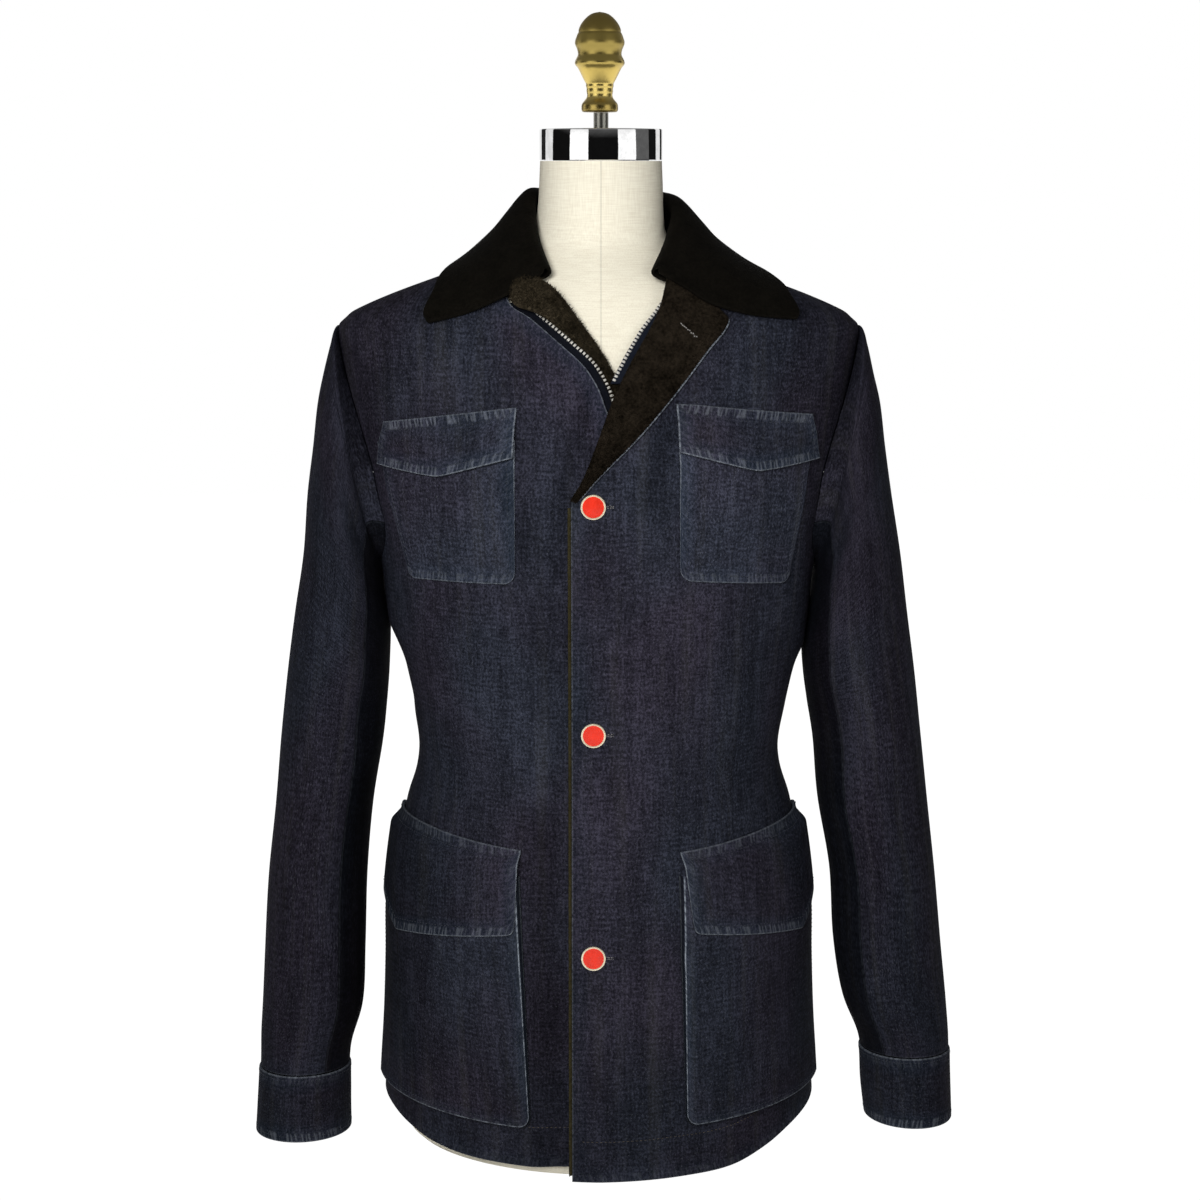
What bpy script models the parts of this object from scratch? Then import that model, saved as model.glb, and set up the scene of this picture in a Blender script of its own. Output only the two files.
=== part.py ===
"""A denim coat with a velvety collar and sheared facings, worn by a limbless tailor's dress form.

Metres, +Z up. The form stands on z = 0 and the coat's front faces -Y. Left and right are the
wearer's: the left side of the coat is at +X.
"""

import math
from collections import namedtuple

import bmesh
import bpy
from mathutils import Vector

LEFT = 1
RIGHT = -1
SIDES = (("left", LEFT), ("right", RIGHT))

# Cloth and the gaps between pieces
CLOTH = 0.0022
POCKET_CLOTH = 0.0016
FLAP_CLOTH = 0.0020
COLLAR_CLOTH = 0.0030
FACING_CLOTH = 0.0025
TAPE_CLOTH = 0.0010
SEAM_GAP = 0.0003
ARMHOLE_GAP = 0.00048
LAYER_GAP = 0.0007
SEAM_TURN = math.radians(0.09)

# The coat's main heights
HemPoint = namedtuple("HemPoint", "degrees left right")
HEM = (
    HemPoint(0.0, 0.0025, 0.0122),
    HemPoint(22.0, 0.0040, 0.0124),
    HemPoint(36.0, 0.0052, 0.0130),
    HemPoint(48.0, 0.0132, 0.0162),
    HemPoint(60.0, 0.0208, 0.0222),
    HemPoint(74.0, 0.0246, 0.0275),
    HemPoint(96.0, 0.0250, 0.0275),
    HemPoint(140.0, 0.0190, 0.0190),
    HemPoint(180.0, 0.0160, 0.0160),
)
UNDERARM = 0.488
SHOULDER_TIP = 0.6865
SIDE_SEAM = math.radians(96)
ARMHOLE_FRONT = math.radians(27)
ARMHOLE_BACK = math.radians(21)
ARMHOLE_GIRTH_RADIUS = 0.13

# Rows of the body panels: even below the underarm, and at these heights above it, at the front
# edge, at the middle of the back, and below the neck point on the back
Row = namedtuple("Row", "step front back back_neck")
UPPER_ROWS = (
    Row(0, 0.4880, 0.4880, 0.4880),
    Row(1, 0.5300, 0.5120, 0.5140),
    Row(2, 0.5700, 0.5360, 0.5410),
    Row(3, 0.6100, 0.5620, 0.5700),
    Row(4, 0.6500, 0.5900, 0.6010),
    Row(5, 0.6850, 0.6190, 0.6330),
    Row(6, 0.7115, 0.6480, 0.6640),
    Row(7, 0.7260, 0.6760, 0.6930),
    Row(8, 0.7350, 0.7020, 0.7165),
    Row(9, 0.7415, 0.7240, 0.7335),
    Row(10, 0.7445, 0.7420, 0.7445),
)
LOWER_ROWS = 12
BODY_ROWS = LOWER_ROWS + len(UPPER_ROWS) - 1
BACK_COLUMNS = 24
FRONT_COLUMNS = 12
NECK_POINT_X = 0.0755
NECK_COLUMN = 1 / 3

# Rings of the coat's outside: height, half the width, how far the front, the widest point and
# the back lie along Y (the front is given as a positive depth)
Ring = namedtuple("Ring", "z half front mid back")
RINGS = (
    Ring(0.000, 0.1875, 0.1430, 0.010, 0.150),
    Ring(0.050, 0.1845, 0.1440, 0.010, 0.151),
    Ring(0.105, 0.1800, 0.1440, 0.009, 0.150),
    Ring(0.155, 0.1775, 0.1425, 0.008, 0.147),
    Ring(0.200, 0.1762, 0.1400, 0.006, 0.143),
    Ring(0.240, 0.1715, 0.1365, 0.004, 0.138),
    Ring(0.290, 0.1620, 0.1315, 0.002, 0.130),
    Ring(0.332, 0.1500, 0.1280, 0.000, 0.122),
    Ring(0.370, 0.1565, 0.1265, -0.001, 0.119),
    Ring(0.409, 0.1645, 0.1270, -0.002, 0.121),
    Ring(0.440, 0.1708, 0.1290, -0.002, 0.125),
    Ring(0.488, 0.1765, 0.1320, -0.002, 0.131),
    Ring(0.540, 0.1880, 0.1345, -0.001, 0.138),
    Ring(0.600, 0.2000, 0.1320, 0.001, 0.141),
    Ring(0.640, 0.2075, 0.1240, 0.002, 0.137),
    Ring(0.670, 0.2120, 0.1125, 0.003, 0.128),
    Ring(0.6865, 0.2125, 0.1045, 0.003, 0.121),
    Ring(0.6925, 0.2070, 0.1015, 0.004, 0.118),
    Ring(0.6984, 0.1995, 0.0985, 0.004, 0.115),
    Ring(0.7106, 0.1720, 0.0915, 0.005, 0.109),
    Ring(0.7228, 0.1390, 0.0840, 0.006, 0.103),
    Ring(0.7370, 0.0980, 0.0735, 0.007, 0.094),
    Ring(0.7445, 0.0755, 0.0670, 0.008, 0.088),
    Ring(0.7600, 0.0560, 0.0540, 0.008, 0.074),
)

# The left front laps over the right one, which is set back under it near the middle
LAP_EDGE = 0.0215
UNDERLAP_EDGE = 0.018
UNDERLAP_DEPTH = 0.0056
UNDERLAP_FLAT = 0.027
UNDERLAP_END = 0.058
UNDERLAP_LOW = 0.635
UNDERLAP_HIGH = 0.685

# The front edges above the lap, from below: where the cloth of each front ends
EdgePoint = namedtuple("EdgePoint", "z x")
LEFT_FOLD = (
    EdgePoint(0.5560, -0.0215),
    EdgePoint(0.5660, -0.0190),
    EdgePoint(0.5760, -0.0100),
    EdgePoint(0.6061, -0.0003),
    EdgePoint(0.6364, 0.0112),
    EdgePoint(0.6640, 0.0250),
    EdgePoint(0.6889, 0.0397),
    EdgePoint(0.7060, 0.0530),
)
RIGHT_EDGE = (
    EdgePoint(0.5900, 0.0180),
    EdgePoint(0.6150, 0.0130),
    EdgePoint(0.6340, 0.0050),
    EdgePoint(0.6480, -0.0050),
    EdgePoint(0.6600, -0.0150),
    EdgePoint(0.6710, -0.0290),
    EdgePoint(0.6860, -0.0460),
    EdgePoint(0.7000, -0.0620),
)
NeckPoint = namedtuple("NeckPoint", "z turn")
NECK_EDGE = (
    NeckPoint(0.7115, 24.5),
    NeckPoint(0.7240, 33.0),
    NeckPoint(0.7350, 49.0),
    NeckPoint(0.7415, 67.0),
    NeckPoint(0.7445, 90.0),
)

# Sleeve sections from the armhole to the cuff seam. Each is an oval between its outer and its
# inner point, which have a height and an X on each side of the coat
Section = namedtuple(
    "Section", "part outer_z outer_left outer_right inner_z inner_left inner_right mid depth"
)
SLEEVE = (
    Section(0.5, 0.6835, 0.2165, 0.2160, 0.4905, 0.1785, 0.1785, 0.003, 0.0625),
    Section(1.0, 0.6745, 0.2192, 0.2184, 0.4850, 0.1800, 0.1800, 0.003, 0.0670),
    Section(2.0, 0.6500, 0.2250, 0.2250, 0.4745, 0.1795, 0.1800, 0.003, 0.0720),
    Section(3.0, 0.6245, 0.2313, 0.2306, 0.4635, 0.1780, 0.1790, 0.003, 0.0755),
    Section(4.0, 0.5900, 0.2360, 0.2350, 0.4520, 0.1755, 0.1765, 0.003, 0.0775),
    Section(5.0, 0.5500, 0.2421, 0.2405, 0.4380, 0.1740, 0.1750, 0.002, 0.0780),
    Section(6.0, 0.5000, 0.2506, 0.2449, 0.4200, 0.1730, 0.1755, 0.001, 0.0770),
    Section(7.0, 0.4500, 0.2573, 0.2530, 0.3980, 0.1727, 0.1762, -0.001, 0.0750),
    Section(8.0, 0.4000, 0.2640, 0.2598, 0.3730, 0.1752, 0.1780, -0.006, 0.0720),
    Section(9.0, 0.3480, 0.2696, 0.2655, 0.3400, 0.1803, 0.1815, -0.012, 0.0690),
    Section(10.0, 0.2900, 0.2757, 0.2706, 0.2900, 0.1845, 0.1897, -0.020, 0.0650),
    Section(11.0, 0.2300, 0.2820, 0.2770, 0.2300, 0.1945, 0.1950, -0.029, 0.0610),
    Section(12.0, 0.1700, 0.2873, 0.2805, 0.1700, 0.1978, 0.1968, -0.038, 0.0570),
    Section(13.0, 0.1210, 0.2919, 0.2827, 0.1210, 0.2057, 0.1991, -0.045, 0.0540),
    Section(14.0, 0.0835, 0.2945, 0.2840, 0.0835, 0.2195, 0.2095, -0.050, 0.0525),
    Section(15.0, 0.0450, 0.2970, 0.2865, 0.0450, 0.2240, 0.2110, -0.054, 0.0525),
    Section(16.0, 0.0170, 0.2985, 0.2885, 0.0170, 0.2290, 0.2110, -0.056, 0.0530),
)
CUFF_SEAM = 14.0
CUFF_END = 16.0
LEFT_SLEEVE_RAISE = 0.008
RAISED_BELOW = 0.40
SLEEVE_LEAN = 0.14
LEAN_FROM = 5.0
CUFF_PROUD = 0.0009
FRONT_SLEEVE_SEAM = math.radians(126)
BACK_SLEEVE_SEAM = math.radians(-108)
SLEEVE_GAP = 0.004
SLEEVE_GAP_HIGH = 0.009

# The collar, from the middle of the back (0) to its front end (1). Each station has its seam
# on the neck, the top of its roll, a point on the fall, and its outer edge on the shoulders
Station = namedtuple(
    "Station",
    "along seam_x seam_y seam_z roll_x roll_y roll_z fall_x fall_y fall_z edge_turn edge_z",
)
COLLAR = {
    LEFT: (
        Station(0.00, 0.0000, 0.0885, 0.7438, 0.0000, 0.0740, 0.7930, 0.0000, 0.0975, 0.764, 180, 0.7160),
        Station(0.25, 0.0530, 0.0660, 0.7450, 0.0455, 0.0580, 0.7910, 0.0700, 0.0770, 0.760, 132, 0.7170),
        Station(0.50, 0.0765, 0.0080, 0.7462, 0.0655, 0.0120, 0.7840, 0.0900, 0.0100, 0.755, 90, 0.7260),
        Station(0.75, 0.0755, -0.0460, 0.7385, 0.0600, -0.0340, 0.7600, 0.0950, -0.0450, 0.738, 61.5, 0.7115),
        Station(1.00, 0.0700, -0.0830, 0.7195, 0.0465, -0.0750, 0.7345, 0.0880, -0.0895, 0.7075, 48, 0.6920),
    ),
    RIGHT: (
        Station(0.00, 0.0000, 0.0885, 0.7438, 0.0000, 0.0740, 0.7930, 0.0000, 0.0975, 0.764, 180, 0.7160),
        Station(0.25, 0.0530, 0.0660, 0.7450, 0.0430, 0.0565, 0.7930, 0.0670, 0.0760, 0.763, 132, 0.7200),
        Station(0.50, 0.0765, 0.0080, 0.7462, 0.0575, 0.0120, 0.7910, 0.0800, 0.0100, 0.762, 90, 0.7320),
        Station(0.75, 0.0750, -0.0460, 0.7385, 0.0545, -0.0340, 0.7630, 0.0840, -0.0450, 0.743, 54.0, 0.7160),
        Station(1.00, 0.0670, -0.0815, 0.7175, 0.0420, -0.0740, 0.7345, 0.0720, -0.0880, 0.7135, 39, 0.6900),
    ),
}
ROLL_RADIUS = 0.0042
COLLAR_LIFT = 0.0044

# Chest and hip pockets on each front, in girth from the middle (round the body) and height
Pocket = namedtuple(
    "Pocket", "inner_low inner_high outer_low outer_high bottom bottom_outer top top_outer"
)
CHEST_POCKET = {
    LEFT: Pocket(0.0640, 0.0630, 0.1690, 0.1870, 0.4920, 0.4900, 0.6080, 0.6000),
    RIGHT: Pocket(0.0655, 0.0650, 0.1670, 0.1950, 0.4925, 0.4935, 0.6060, 0.5980),
}
CHEST_FLAP = {
    LEFT: Pocket(0.0665, 0.0615, 0.1910, 0.1830, 0.5975, 0.5865, 0.6340, 0.6210),
    RIGHT: Pocket(0.0655, 0.0635, 0.1915, 0.1840, 0.5930, 0.5820, 0.6310, 0.6150),
}
CHEST_FLAP_POINT = 0.0120
HIP_POCKET = {
    LEFT: Pocket(0.0740, 0.0680, 0.2420, 0.2450, 0.0460, 0.0460, 0.2560, 0.2560),
    RIGHT: Pocket(0.0560, 0.0660, 0.2420, 0.2450, 0.0460, 0.0460, 0.2560, 0.2560),
}
HIP_FLAP = {
    LEFT: Pocket(0.0785, 0.0665, 0.2480, 0.2480, 0.2090, 0.1860, 0.2750, 0.2800),
    RIGHT: Pocket(0.0660, 0.0625, 0.2480, 0.2480, 0.2090, 0.1860, 0.2770, 0.2800),
}
HIP_POCKET_RISE = 0.0040
HIP_COLUMNS = 10
HIP_ROWS = 8
BORDER = 0.0012
HIP_FLAP_CLIP = 0.0250
HIP_FLAP_CLIP_FROM = 0.70
CORNER_RADIUS = 0.010

# The turned-back facing of the left front, between its fold and its free edge
LapelRow = namedtuple("LapelRow", "along fold_x fold_z edge_x edge_z")
LAPEL = (
    LapelRow(0.00, -0.0215, 0.5605, -0.0170, 0.5600),
    LapelRow(0.12, -0.0100, 0.5765, -0.0020, 0.5800),
    LapelRow(0.32, -0.0003, 0.6065, 0.0250, 0.6130),
    LapelRow(0.52, 0.0112, 0.6368, 0.0540, 0.6480),
    LapelRow(0.70, 0.0250, 0.6645, 0.0810, 0.6733),
    LapelRow(0.84, 0.0397, 0.6893, 0.0985, 0.6930),
    LapelRow(0.93, 0.0510, 0.7035, 0.0885, 0.7035),
    LapelRow(1.00, 0.0560, 0.7095, 0.0710, 0.7090),
)
LAPEL_CLOTH = 0.0030

# The facing that rolls out along the right front's neck edge
RIGHT_ROLL = (
    LapelRow(0.00, 0.0110, 0.6340, 0.0135, 0.6420),
    LapelRow(0.25, -0.0005, 0.6540, 0.0060, 0.6620),
    LapelRow(0.50, -0.0200, 0.6735, -0.0100, 0.6840),
    LapelRow(0.75, -0.0460, 0.6930, -0.0300, 0.7060),
    LapelRow(1.00, -0.0640, 0.7080, -0.0450, 0.7240),
)
FACING_DEPTH = 0.0058
LEFT_TAPE_DEPTH = 0.0036
RIGHT_TAPE_DEPTH = 0.0042
TAPE_WIDTH = 0.0085

# Front edge facing and buttons
EDGE_FACING_PROUD = 0.0036
EDGE_FACING_WIDTH = 0.024
EDGE_FACING_DEPTH = 0.0028
EDGE_FACING_CLOTH = 0.0018
BUTTON_HEIGHTS = (0.5550, 0.3715, 0.1920)
BUTTON_X = -0.0040
BUTTON_RADIUS = 0.0098
BUTTON_THICK = 0.0030
SHANK_RADIUS = 0.0035
SHANK_LENGTH = 0.0020
BUTTON_GAP = 0.0002

# The dress form
PLATE_X = 0.186
SHOULDER_ROOM = 0.0034
SIDE_ROOM = 0.0080
FRONT_ROOM = 0.0135
BACK_ROOM = 0.0060
NECK_ROOM = 0.0095
WAIST_ROOM = 0.0150
NECK_X = 0.0020
NECK_Y = 0.006
CAP_BOTTOM = 0.8185
CAP_TOP = 0.8437
CAP_RADIUS = 0.0498
ROD_RADIUS = 0.0060
ROD_LENGTH = 0.0125
FINIAL_OFFSET = 0.0010
FORM_COLUMNS = 32

COLOURS = {
    "denim": (0.018, 0.024, 0.045, 1),
    "pile": (0.006, 0.006, 0.007, 1),
    "shearling": (0.030, 0.021, 0.014, 1),
    "tape": (0.012, 0.015, 0.028, 1),
    "enamel": (0.62, 0.05, 0.025, 1),
    "linen": (0.72, 0.66, 0.52, 1),
    "chrome": (0.75, 0.75, 0.76, 1),
    "brass": (0.55, 0.42, 0.14, 1),
    "steel": (0.50, 0.50, 0.50, 1),
}
METALS = ("chrome", "brass", "steel")


def clear_scene():
    for thing in list(bpy.data.objects):
        bpy.data.objects.remove(thing, do_unlink=True)


def material(name):
    made = bpy.data.materials.get(name) or bpy.data.materials.new(name)
    made.use_nodes = True
    shader = made.node_tree.nodes["Principled BSDF"]
    shader.inputs["Base Color"].default_value = COLOURS[name]
    shader.inputs["Metallic"].default_value = 1.0 if name in METALS else 0.0
    shader.inputs["Roughness"].default_value = 0.2 if name in METALS else 0.85
    return made


def sample(rows, at):
    """The row of a table at a given first column, on a smooth curve through its rows."""
    at = min(max(at, rows[0][0]), rows[-1][0])
    place = max(k for k in range(len(rows) - 1) if rows[k][0] <= at)
    low, high = rows[place], rows[place + 1]
    before, after = rows[max(place - 1, 0)], rows[min(place + 2, len(rows) - 1)]
    span = high[0] - low[0]
    share = (at - low[0]) / span
    values = [at]
    for column in range(1, len(low)):
        leave = (high[column] - before[column]) / (high[0] - before[0]) * span
        arrive = (after[column] - low[column]) / (after[0] - low[0]) * span
        values.append(
            low[column] * (2 * share**3 - 3 * share**2 + 1)
            + leave * (share**3 - 2 * share**2 + share)
            + high[column] * (3 * share**2 - 2 * share**3)
            + arrive * (share**3 - share**2)
        )
    return type(low)(*values)


def ease(value, low, high):
    """0 below low, 1 above high, and a smooth rise between."""
    share = min(max((value - low) / (high - low), 0.0), 1.0)
    return share * share * (3 - 2 * share)


def mix(low, high, share):
    return low + (high - low) * share


# ---- The body's surface ----


def ring_point(turn, z):
    """A point on the coat's outside: turn is 0 at the front middle, a half turn at the back."""
    ring = sample(RINGS, z)
    reach = ring.mid + ring.front if math.cos(turn) > 0 else ring.back - ring.mid
    return Vector((ring.half * math.sin(turn), ring.mid - reach * math.cos(turn), z))


def body_point(turn, z, out=0.0):
    """The same point moved out along the surface's normal."""
    step_turn, step_z = 0.01, 0.0015
    across = ring_point(turn + step_turn, z) - ring_point(turn - step_turn, z)
    up = ring_point(turn, z + step_z) - ring_point(turn, z - step_z)
    return ring_point(turn, z) + across.cross(up).normalized() * out


def turn_at_x(x, z):
    half = sample(RINGS, z).half
    return math.asin(min(max(x / half, -1.0), 1.0))


def turn_at_girth(girth, z):
    """The turn reached by a tape laid round the ring from the front middle."""
    turn, walked = 0.0, 0.0
    step = math.radians(1.0)
    last = ring_point(0.0, z)
    while walked < girth:
        here = ring_point(turn + step, z)
        length = (here - last).length
        if walked + length >= girth:
            return turn + step * (girth - walked) / length
        walked += length
        turn += step
        last = here
    return turn


def girth_point(side, girth, z, out):
    """A point laid on the body by tape: girth from the front middle, height, and lift."""
    point = body_point(turn_at_girth(girth, z), z, out)
    point.x *= side
    return point


def armhole(angle, inset=0.0):
    """Turn and height of the armhole seam: 0 at the shoulder tip, a half turn at the underarm."""
    share = (1 - math.cos(angle)) / 2
    z = mix(SHOULDER_TIP - inset, UNDERARM + inset, share)
    middle = mix(math.pi / 2, SIDE_SEAM, share)
    reach = ARMHOLE_FRONT if math.sin(angle) > 0 else ARMHOLE_BACK
    girth_inset = inset / ARMHOLE_GIRTH_RADIUS
    return middle - max(reach - girth_inset, 0.0) * math.sin(angle), z


# ---- Making walls ----


def as_object(mesh, name, look, collection):
    data = bpy.data.meshes.new(name)
    mesh.to_mesh(data)
    mesh.free()
    data.shade_smooth()
    data.set_sharp_from_angle(angle=math.radians(50))
    data.materials.append(material(look))
    made = bpy.data.objects.new(name, data)
    collection.objects.link(made)
    return made


def wall(name, columns, rows, place, look, collection, tube=False):
    """A closed cloth wall: two grids, the outside (layer 0) and the inside (layer 1), whose points
    place(u, v, layer) gives, joined round the border. Both sides are worked out from the same
    surface, so that neighbouring pieces keep their gap. A tube's first and last columns meet."""
    mesh = bmesh.new()
    layers = []
    for layer in (0, 1):
        made = bmesh.ops.create_grid(mesh, x_segments=columns, y_segments=rows, size=0.5)
        found = {}
        for vert in made["verts"]:
            i = round((vert.co.x + 0.5) * columns)
            j = round((vert.co.y + 0.5) * rows)
            found[i, j] = vert
        for (i, j), vert in found.items():
            vert.co = place(i / columns, j / rows, layer)
        layers.append(found)
    foot = [(i, 0) for i in range(columns + 1)]
    head = [(i, rows) for i in range(columns, -1, -1)]
    borders = [foot, head]
    if not tube:
        right = [(columns, j) for j in range(1, rows)]
        left = [(0, j) for j in range(rows - 1, 0, -1)]
        borders = [foot + right + head + left + [foot[0]]]
    outside, inside = layers
    for border in borders:
        for here, there in zip(border, border[1:]):
            mesh.faces.new((outside[here], outside[there], inside[there], inside[here]))
    if tube:
        bmesh.ops.remove_doubles(mesh, verts=mesh.verts, dist=1e-6)
    bmesh.ops.recalc_face_normals(mesh, faces=mesh.faces)
    return as_object(mesh, name, look, collection)


def turned(name, profile, centre, steps, look, collection):
    """A profile of radius and height points, from top to bottom, turned round the upright axis."""
    data = bpy.data.meshes.new(name)
    points = [(radius, 0, z) for radius, z in profile]
    data.from_pydata(points, [(k, k + 1) for k in range(len(points) - 1)], [])
    made = bpy.data.objects.new(name, data)
    collection.objects.link(made)
    made.location = centre
    screw = made.modifiers.new("Turn", "SCREW")
    screw.steps = steps
    screw.render_steps = steps
    screw.use_merge_vertices = True
    screw.merge_threshold = 0.00005
    data.materials.append(material(look))
    return made


# ---- Front and back panels ----


def hem_height(side, turn):
    """The hem is lowest at the front, rises to the side and dips a little at the back."""
    point = sample(HEM, math.degrees(turn))
    return point.left if side == LEFT else point.right


def front_edge(side, z):
    """The turn of a front's free edge at a height, measured towards its own side."""
    if side == LEFT:
        x = -LAP_EDGE if z < LEFT_FOLD[0].z else sample(LEFT_FOLD, z).x
        start = LEFT_FOLD[-1].z
    else:
        x = -UNDERLAP_EDGE if z < RIGHT_EDGE[0].z else -sample(RIGHT_EDGE, z).x
        start = RIGHT_EDGE[-1].z
    if z <= start:
        return turn_at_x(x, z)
    neck = math.radians(sample(NECK_EDGE, z).turn)
    if z >= NECK_EDGE[0].z:
        return neck
    last = LEFT_FOLD[-1].x if side == LEFT else -RIGHT_EDGE[-1].x
    return mix(turn_at_x(last, z), neck, (z - start) / (NECK_EDGE[0].z - start))


def underlap(x, z):
    """How far the right front and what is sewn to it are set back, below the left front."""
    near = 1 - ease(-x, UNDERLAP_FLAT, UNDERLAP_END)
    below = 1 - ease(z, UNDERLAP_LOW, UNDERLAP_HIGH)
    return -UNDERLAP_DEPTH * near * below


def side_path(side, v, back=False):
    """Turn and height up the side seam, then up the armhole to the shoulder tip."""
    gap = SEAM_TURN if back else -SEAM_TURN
    step = v * BODY_ROWS - LOWER_ROWS
    if step <= 0:
        low = hem_height(side, SIDE_SEAM)
        return SIDE_SEAM + gap, mix(low, UNDERARM, v * BODY_ROWS / LOWER_ROWS)
    angle = math.pi * (1 - step / (BODY_ROWS - LOWER_ROWS))
    turn, z = armhole(-angle if back else angle)
    return turn + gap * (1 - math.sin(angle)), z


def front_panel(side):
    def place(u, v, layer):
        side_turn, side_z = side_path(side, v)
        step = v * BODY_ROWS - LOWER_ROWS
        edge_z = sample(UPPER_ROWS, step).front
        if step <= 0:
            edge_z = mix(hem_height(side, 0.0), UNDERARM, v * BODY_ROWS / LOWER_ROWS)
        edge_turn = min(front_edge(side, edge_z), math.pi / 2 - SEAM_TURN)
        turn = mix(edge_turn, side_turn, u)
        z = mix(edge_z, side_z, u)
        if step <= 0:
            z = mix(hem_height(side, abs(turn)), UNDERARM, v * BODY_ROWS / LOWER_ROWS)
        x = -sample(RINGS, z).half * math.sin(turn)
        set_back = underlap(x, z) if side == RIGHT else 0.0
        point = body_point(turn, z, set_back - CLOTH * layer)
        point.x *= side
        return point

    return place


def back_panel(u, v, layer):
    """The back, mirrored about its middle. A column of its grid runs up to the neck point."""
    across = 2 * u - 1
    reach = abs(across)
    side = LEFT if across > 0 else RIGHT
    side_turn, side_z = side_path(side, v, back=True)
    step = v * BODY_ROWS - LOWER_ROWS
    row = sample(UPPER_ROWS, step)
    neck_turn = min(turn_at_x(NECK_POINT_X, row.back_neck), math.pi / 2 - SEAM_TURN)
    if reach <= NECK_COLUMN:
        turned_by = neck_turn * reach / NECK_COLUMN
        z = mix(row.back, row.back_neck, (reach / NECK_COLUMN) ** 2)
    else:
        share = (reach - NECK_COLUMN) / (1 - NECK_COLUMN)
        turned_by = mix(neck_turn, math.pi - side_turn, share)
        z = mix(row.back_neck, side_z, share)
    if step <= 0:
        z = mix(hem_height(side, math.pi - turned_by), UNDERARM, v * BODY_ROWS / LOWER_ROWS)
    point = body_point(math.pi - turned_by, z, -CLOTH * layer)
    point.x *= side
    return point


# ---- Sleeves and cuffs ----


def sleeve_ring(side, section, angle):
    """A point on one oval section of a sleeve: angle 0 is its outer point, a quarter its front."""
    outer_x = section.outer_left if side == LEFT else section.outer_right
    inner_x = section.inner_left if side == LEFT else section.inner_right
    outer = Vector((outer_x, 0, section.outer_z))
    inner = Vector((inner_x, 0, section.inner_z))
    centre = (outer + inner) / 2
    point = centre + (outer - inner) / 2 * math.cos(angle)
    point.y = section.mid - section.depth * math.sin(angle)
    lean = SLEEVE_LEAN * ease(section.part, LEAN_FROM, CUFF_SEAM)
    point.z += section.depth * math.sin(angle) * lean
    if side == LEFT:
        point.z += LEFT_SLEEVE_RAISE * (1 - ease(point.z, 0.0, RAISED_BELOW))
    point.x *= side
    return point


def armhole_point(side, angle, inset, out=0.0):
    turn, z = armhole(angle, inset)
    point = body_point(turn, z, out)
    point.x *= side
    return point


def sleeve_point(side, part, angle):
    """A point on the sleeve's outside, part way from the armhole (0) to the cuff's end (16)."""
    if part >= SLEEVE[0].part + 0.5:
        return sleeve_ring(side, sample(SLEEVE, part), angle)
    start = armhole_point(side, angle, ARMHOLE_GAP)
    first = sleeve_ring(side, SLEEVE[0], angle)
    second = sleeve_ring(side, SLEEVE[1], angle)
    share = part / SLEEVE[1].part
    # A curve through the seam, the first section at one half, and the second at one
    return (
        start * (2 * (share - 0.5) * (share - 1))
        + first * (-4 * share * (share - 1))
        + second * (2 * share * (share - 0.5))
    )


def sleeve_wall_point(side, part, angle, depth):
    """The sleeve's surface moved in by a depth. At the armhole it follows the body's wall."""
    point = sleeve_point(side, part, angle)
    if depth == 0:
        return point
    if part == 0:
        return armhole_point(side, angle, ARMHOLE_GAP, -depth)
    step = 0.02
    end = min(part + step, CUFF_END)
    along = sleeve_point(side, end, angle) - sleeve_point(side, part - step, angle)
    around = sleeve_point(side, part, angle + step) - sleeve_point(side, part, angle - step)
    normal = around.cross(along).normalized() * side
    return point - normal * depth


SLEEVE_PARTS = (0, 0.5, 1, 2, 3, 4, 5, 6, 7, 8, 9, 10, 11, 12, 13, CUFF_SEAM - 0.006)


def sleeve_part(v):
    place = v * (len(SLEEVE_PARTS) - 1)
    return SLEEVE_PARTS[round(place)]


def sleeve_panel(side, low, high):
    def place(u, v, layer):
        gap = mix(SLEEVE_GAP_HIGH, SLEEVE_GAP, ease(sleeve_part(v), 0.0, 2.0))
        angle = mix(low + gap / 2, high - gap / 2, u)
        return sleeve_wall_point(side, sleeve_part(v), angle, CLOTH * layer)

    return place


def cuff(side):
    def place(u, v, layer):
        part = mix(CUFF_SEAM + 0.004, CUFF_END, v)
        return sleeve_wall_point(side, part, 2 * math.pi * u, CLOTH * layer - CUFF_PROUD)

    return place


# ---- Collar ----


def collar_path(side, along):
    """The collar's cross-section at a station: from its neck seam over the roll to its edge."""
    station = sample(COLLAR[side], along)
    seam = Vector((station.seam_x, station.seam_y, station.seam_z))
    roll = Vector((station.roll_x, station.roll_y, station.roll_z))
    fall = Vector((station.fall_x, station.fall_y, station.fall_z))
    edge = body_point(math.radians(station.edge_turn), station.edge_z, COLLAR_LIFT)
    outward = Vector((roll.x, roll.y - NECK_Y, 0)).normalized()
    drop = Vector((0, 0, -ROLL_RADIUS))
    inner = roll - outward * ROLL_RADIUS + drop
    outer = roll + outward * ROLL_RADIUS + drop
    stand = (seam + inner) / 2
    low_fall = (fall + edge) / 2 + Vector((0, 0, -0.003))
    return [seam, stand, inner, roll, outer, (outer + fall) / 2, fall, low_fall, edge]


def collar_point(side, along, v):
    path = collar_path(side, along)
    place = v * (len(path) - 1)
    k = min(int(place), len(path) - 2)
    share = place - k
    before, after = path[max(k - 1, 0)], path[min(k + 2, len(path) - 1)]
    low, high = path[k], path[k + 1]
    leave, arrive = (high - before) / 2, (after - low) / 2
    return (
        low * (2 * share**3 - 3 * share**2 + 1)
        + leave * (share**3 - 2 * share**2 + share)
        + high * (3 * share**2 - 2 * share**3)
        + arrive * (share**3 - share**2)
    )


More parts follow.
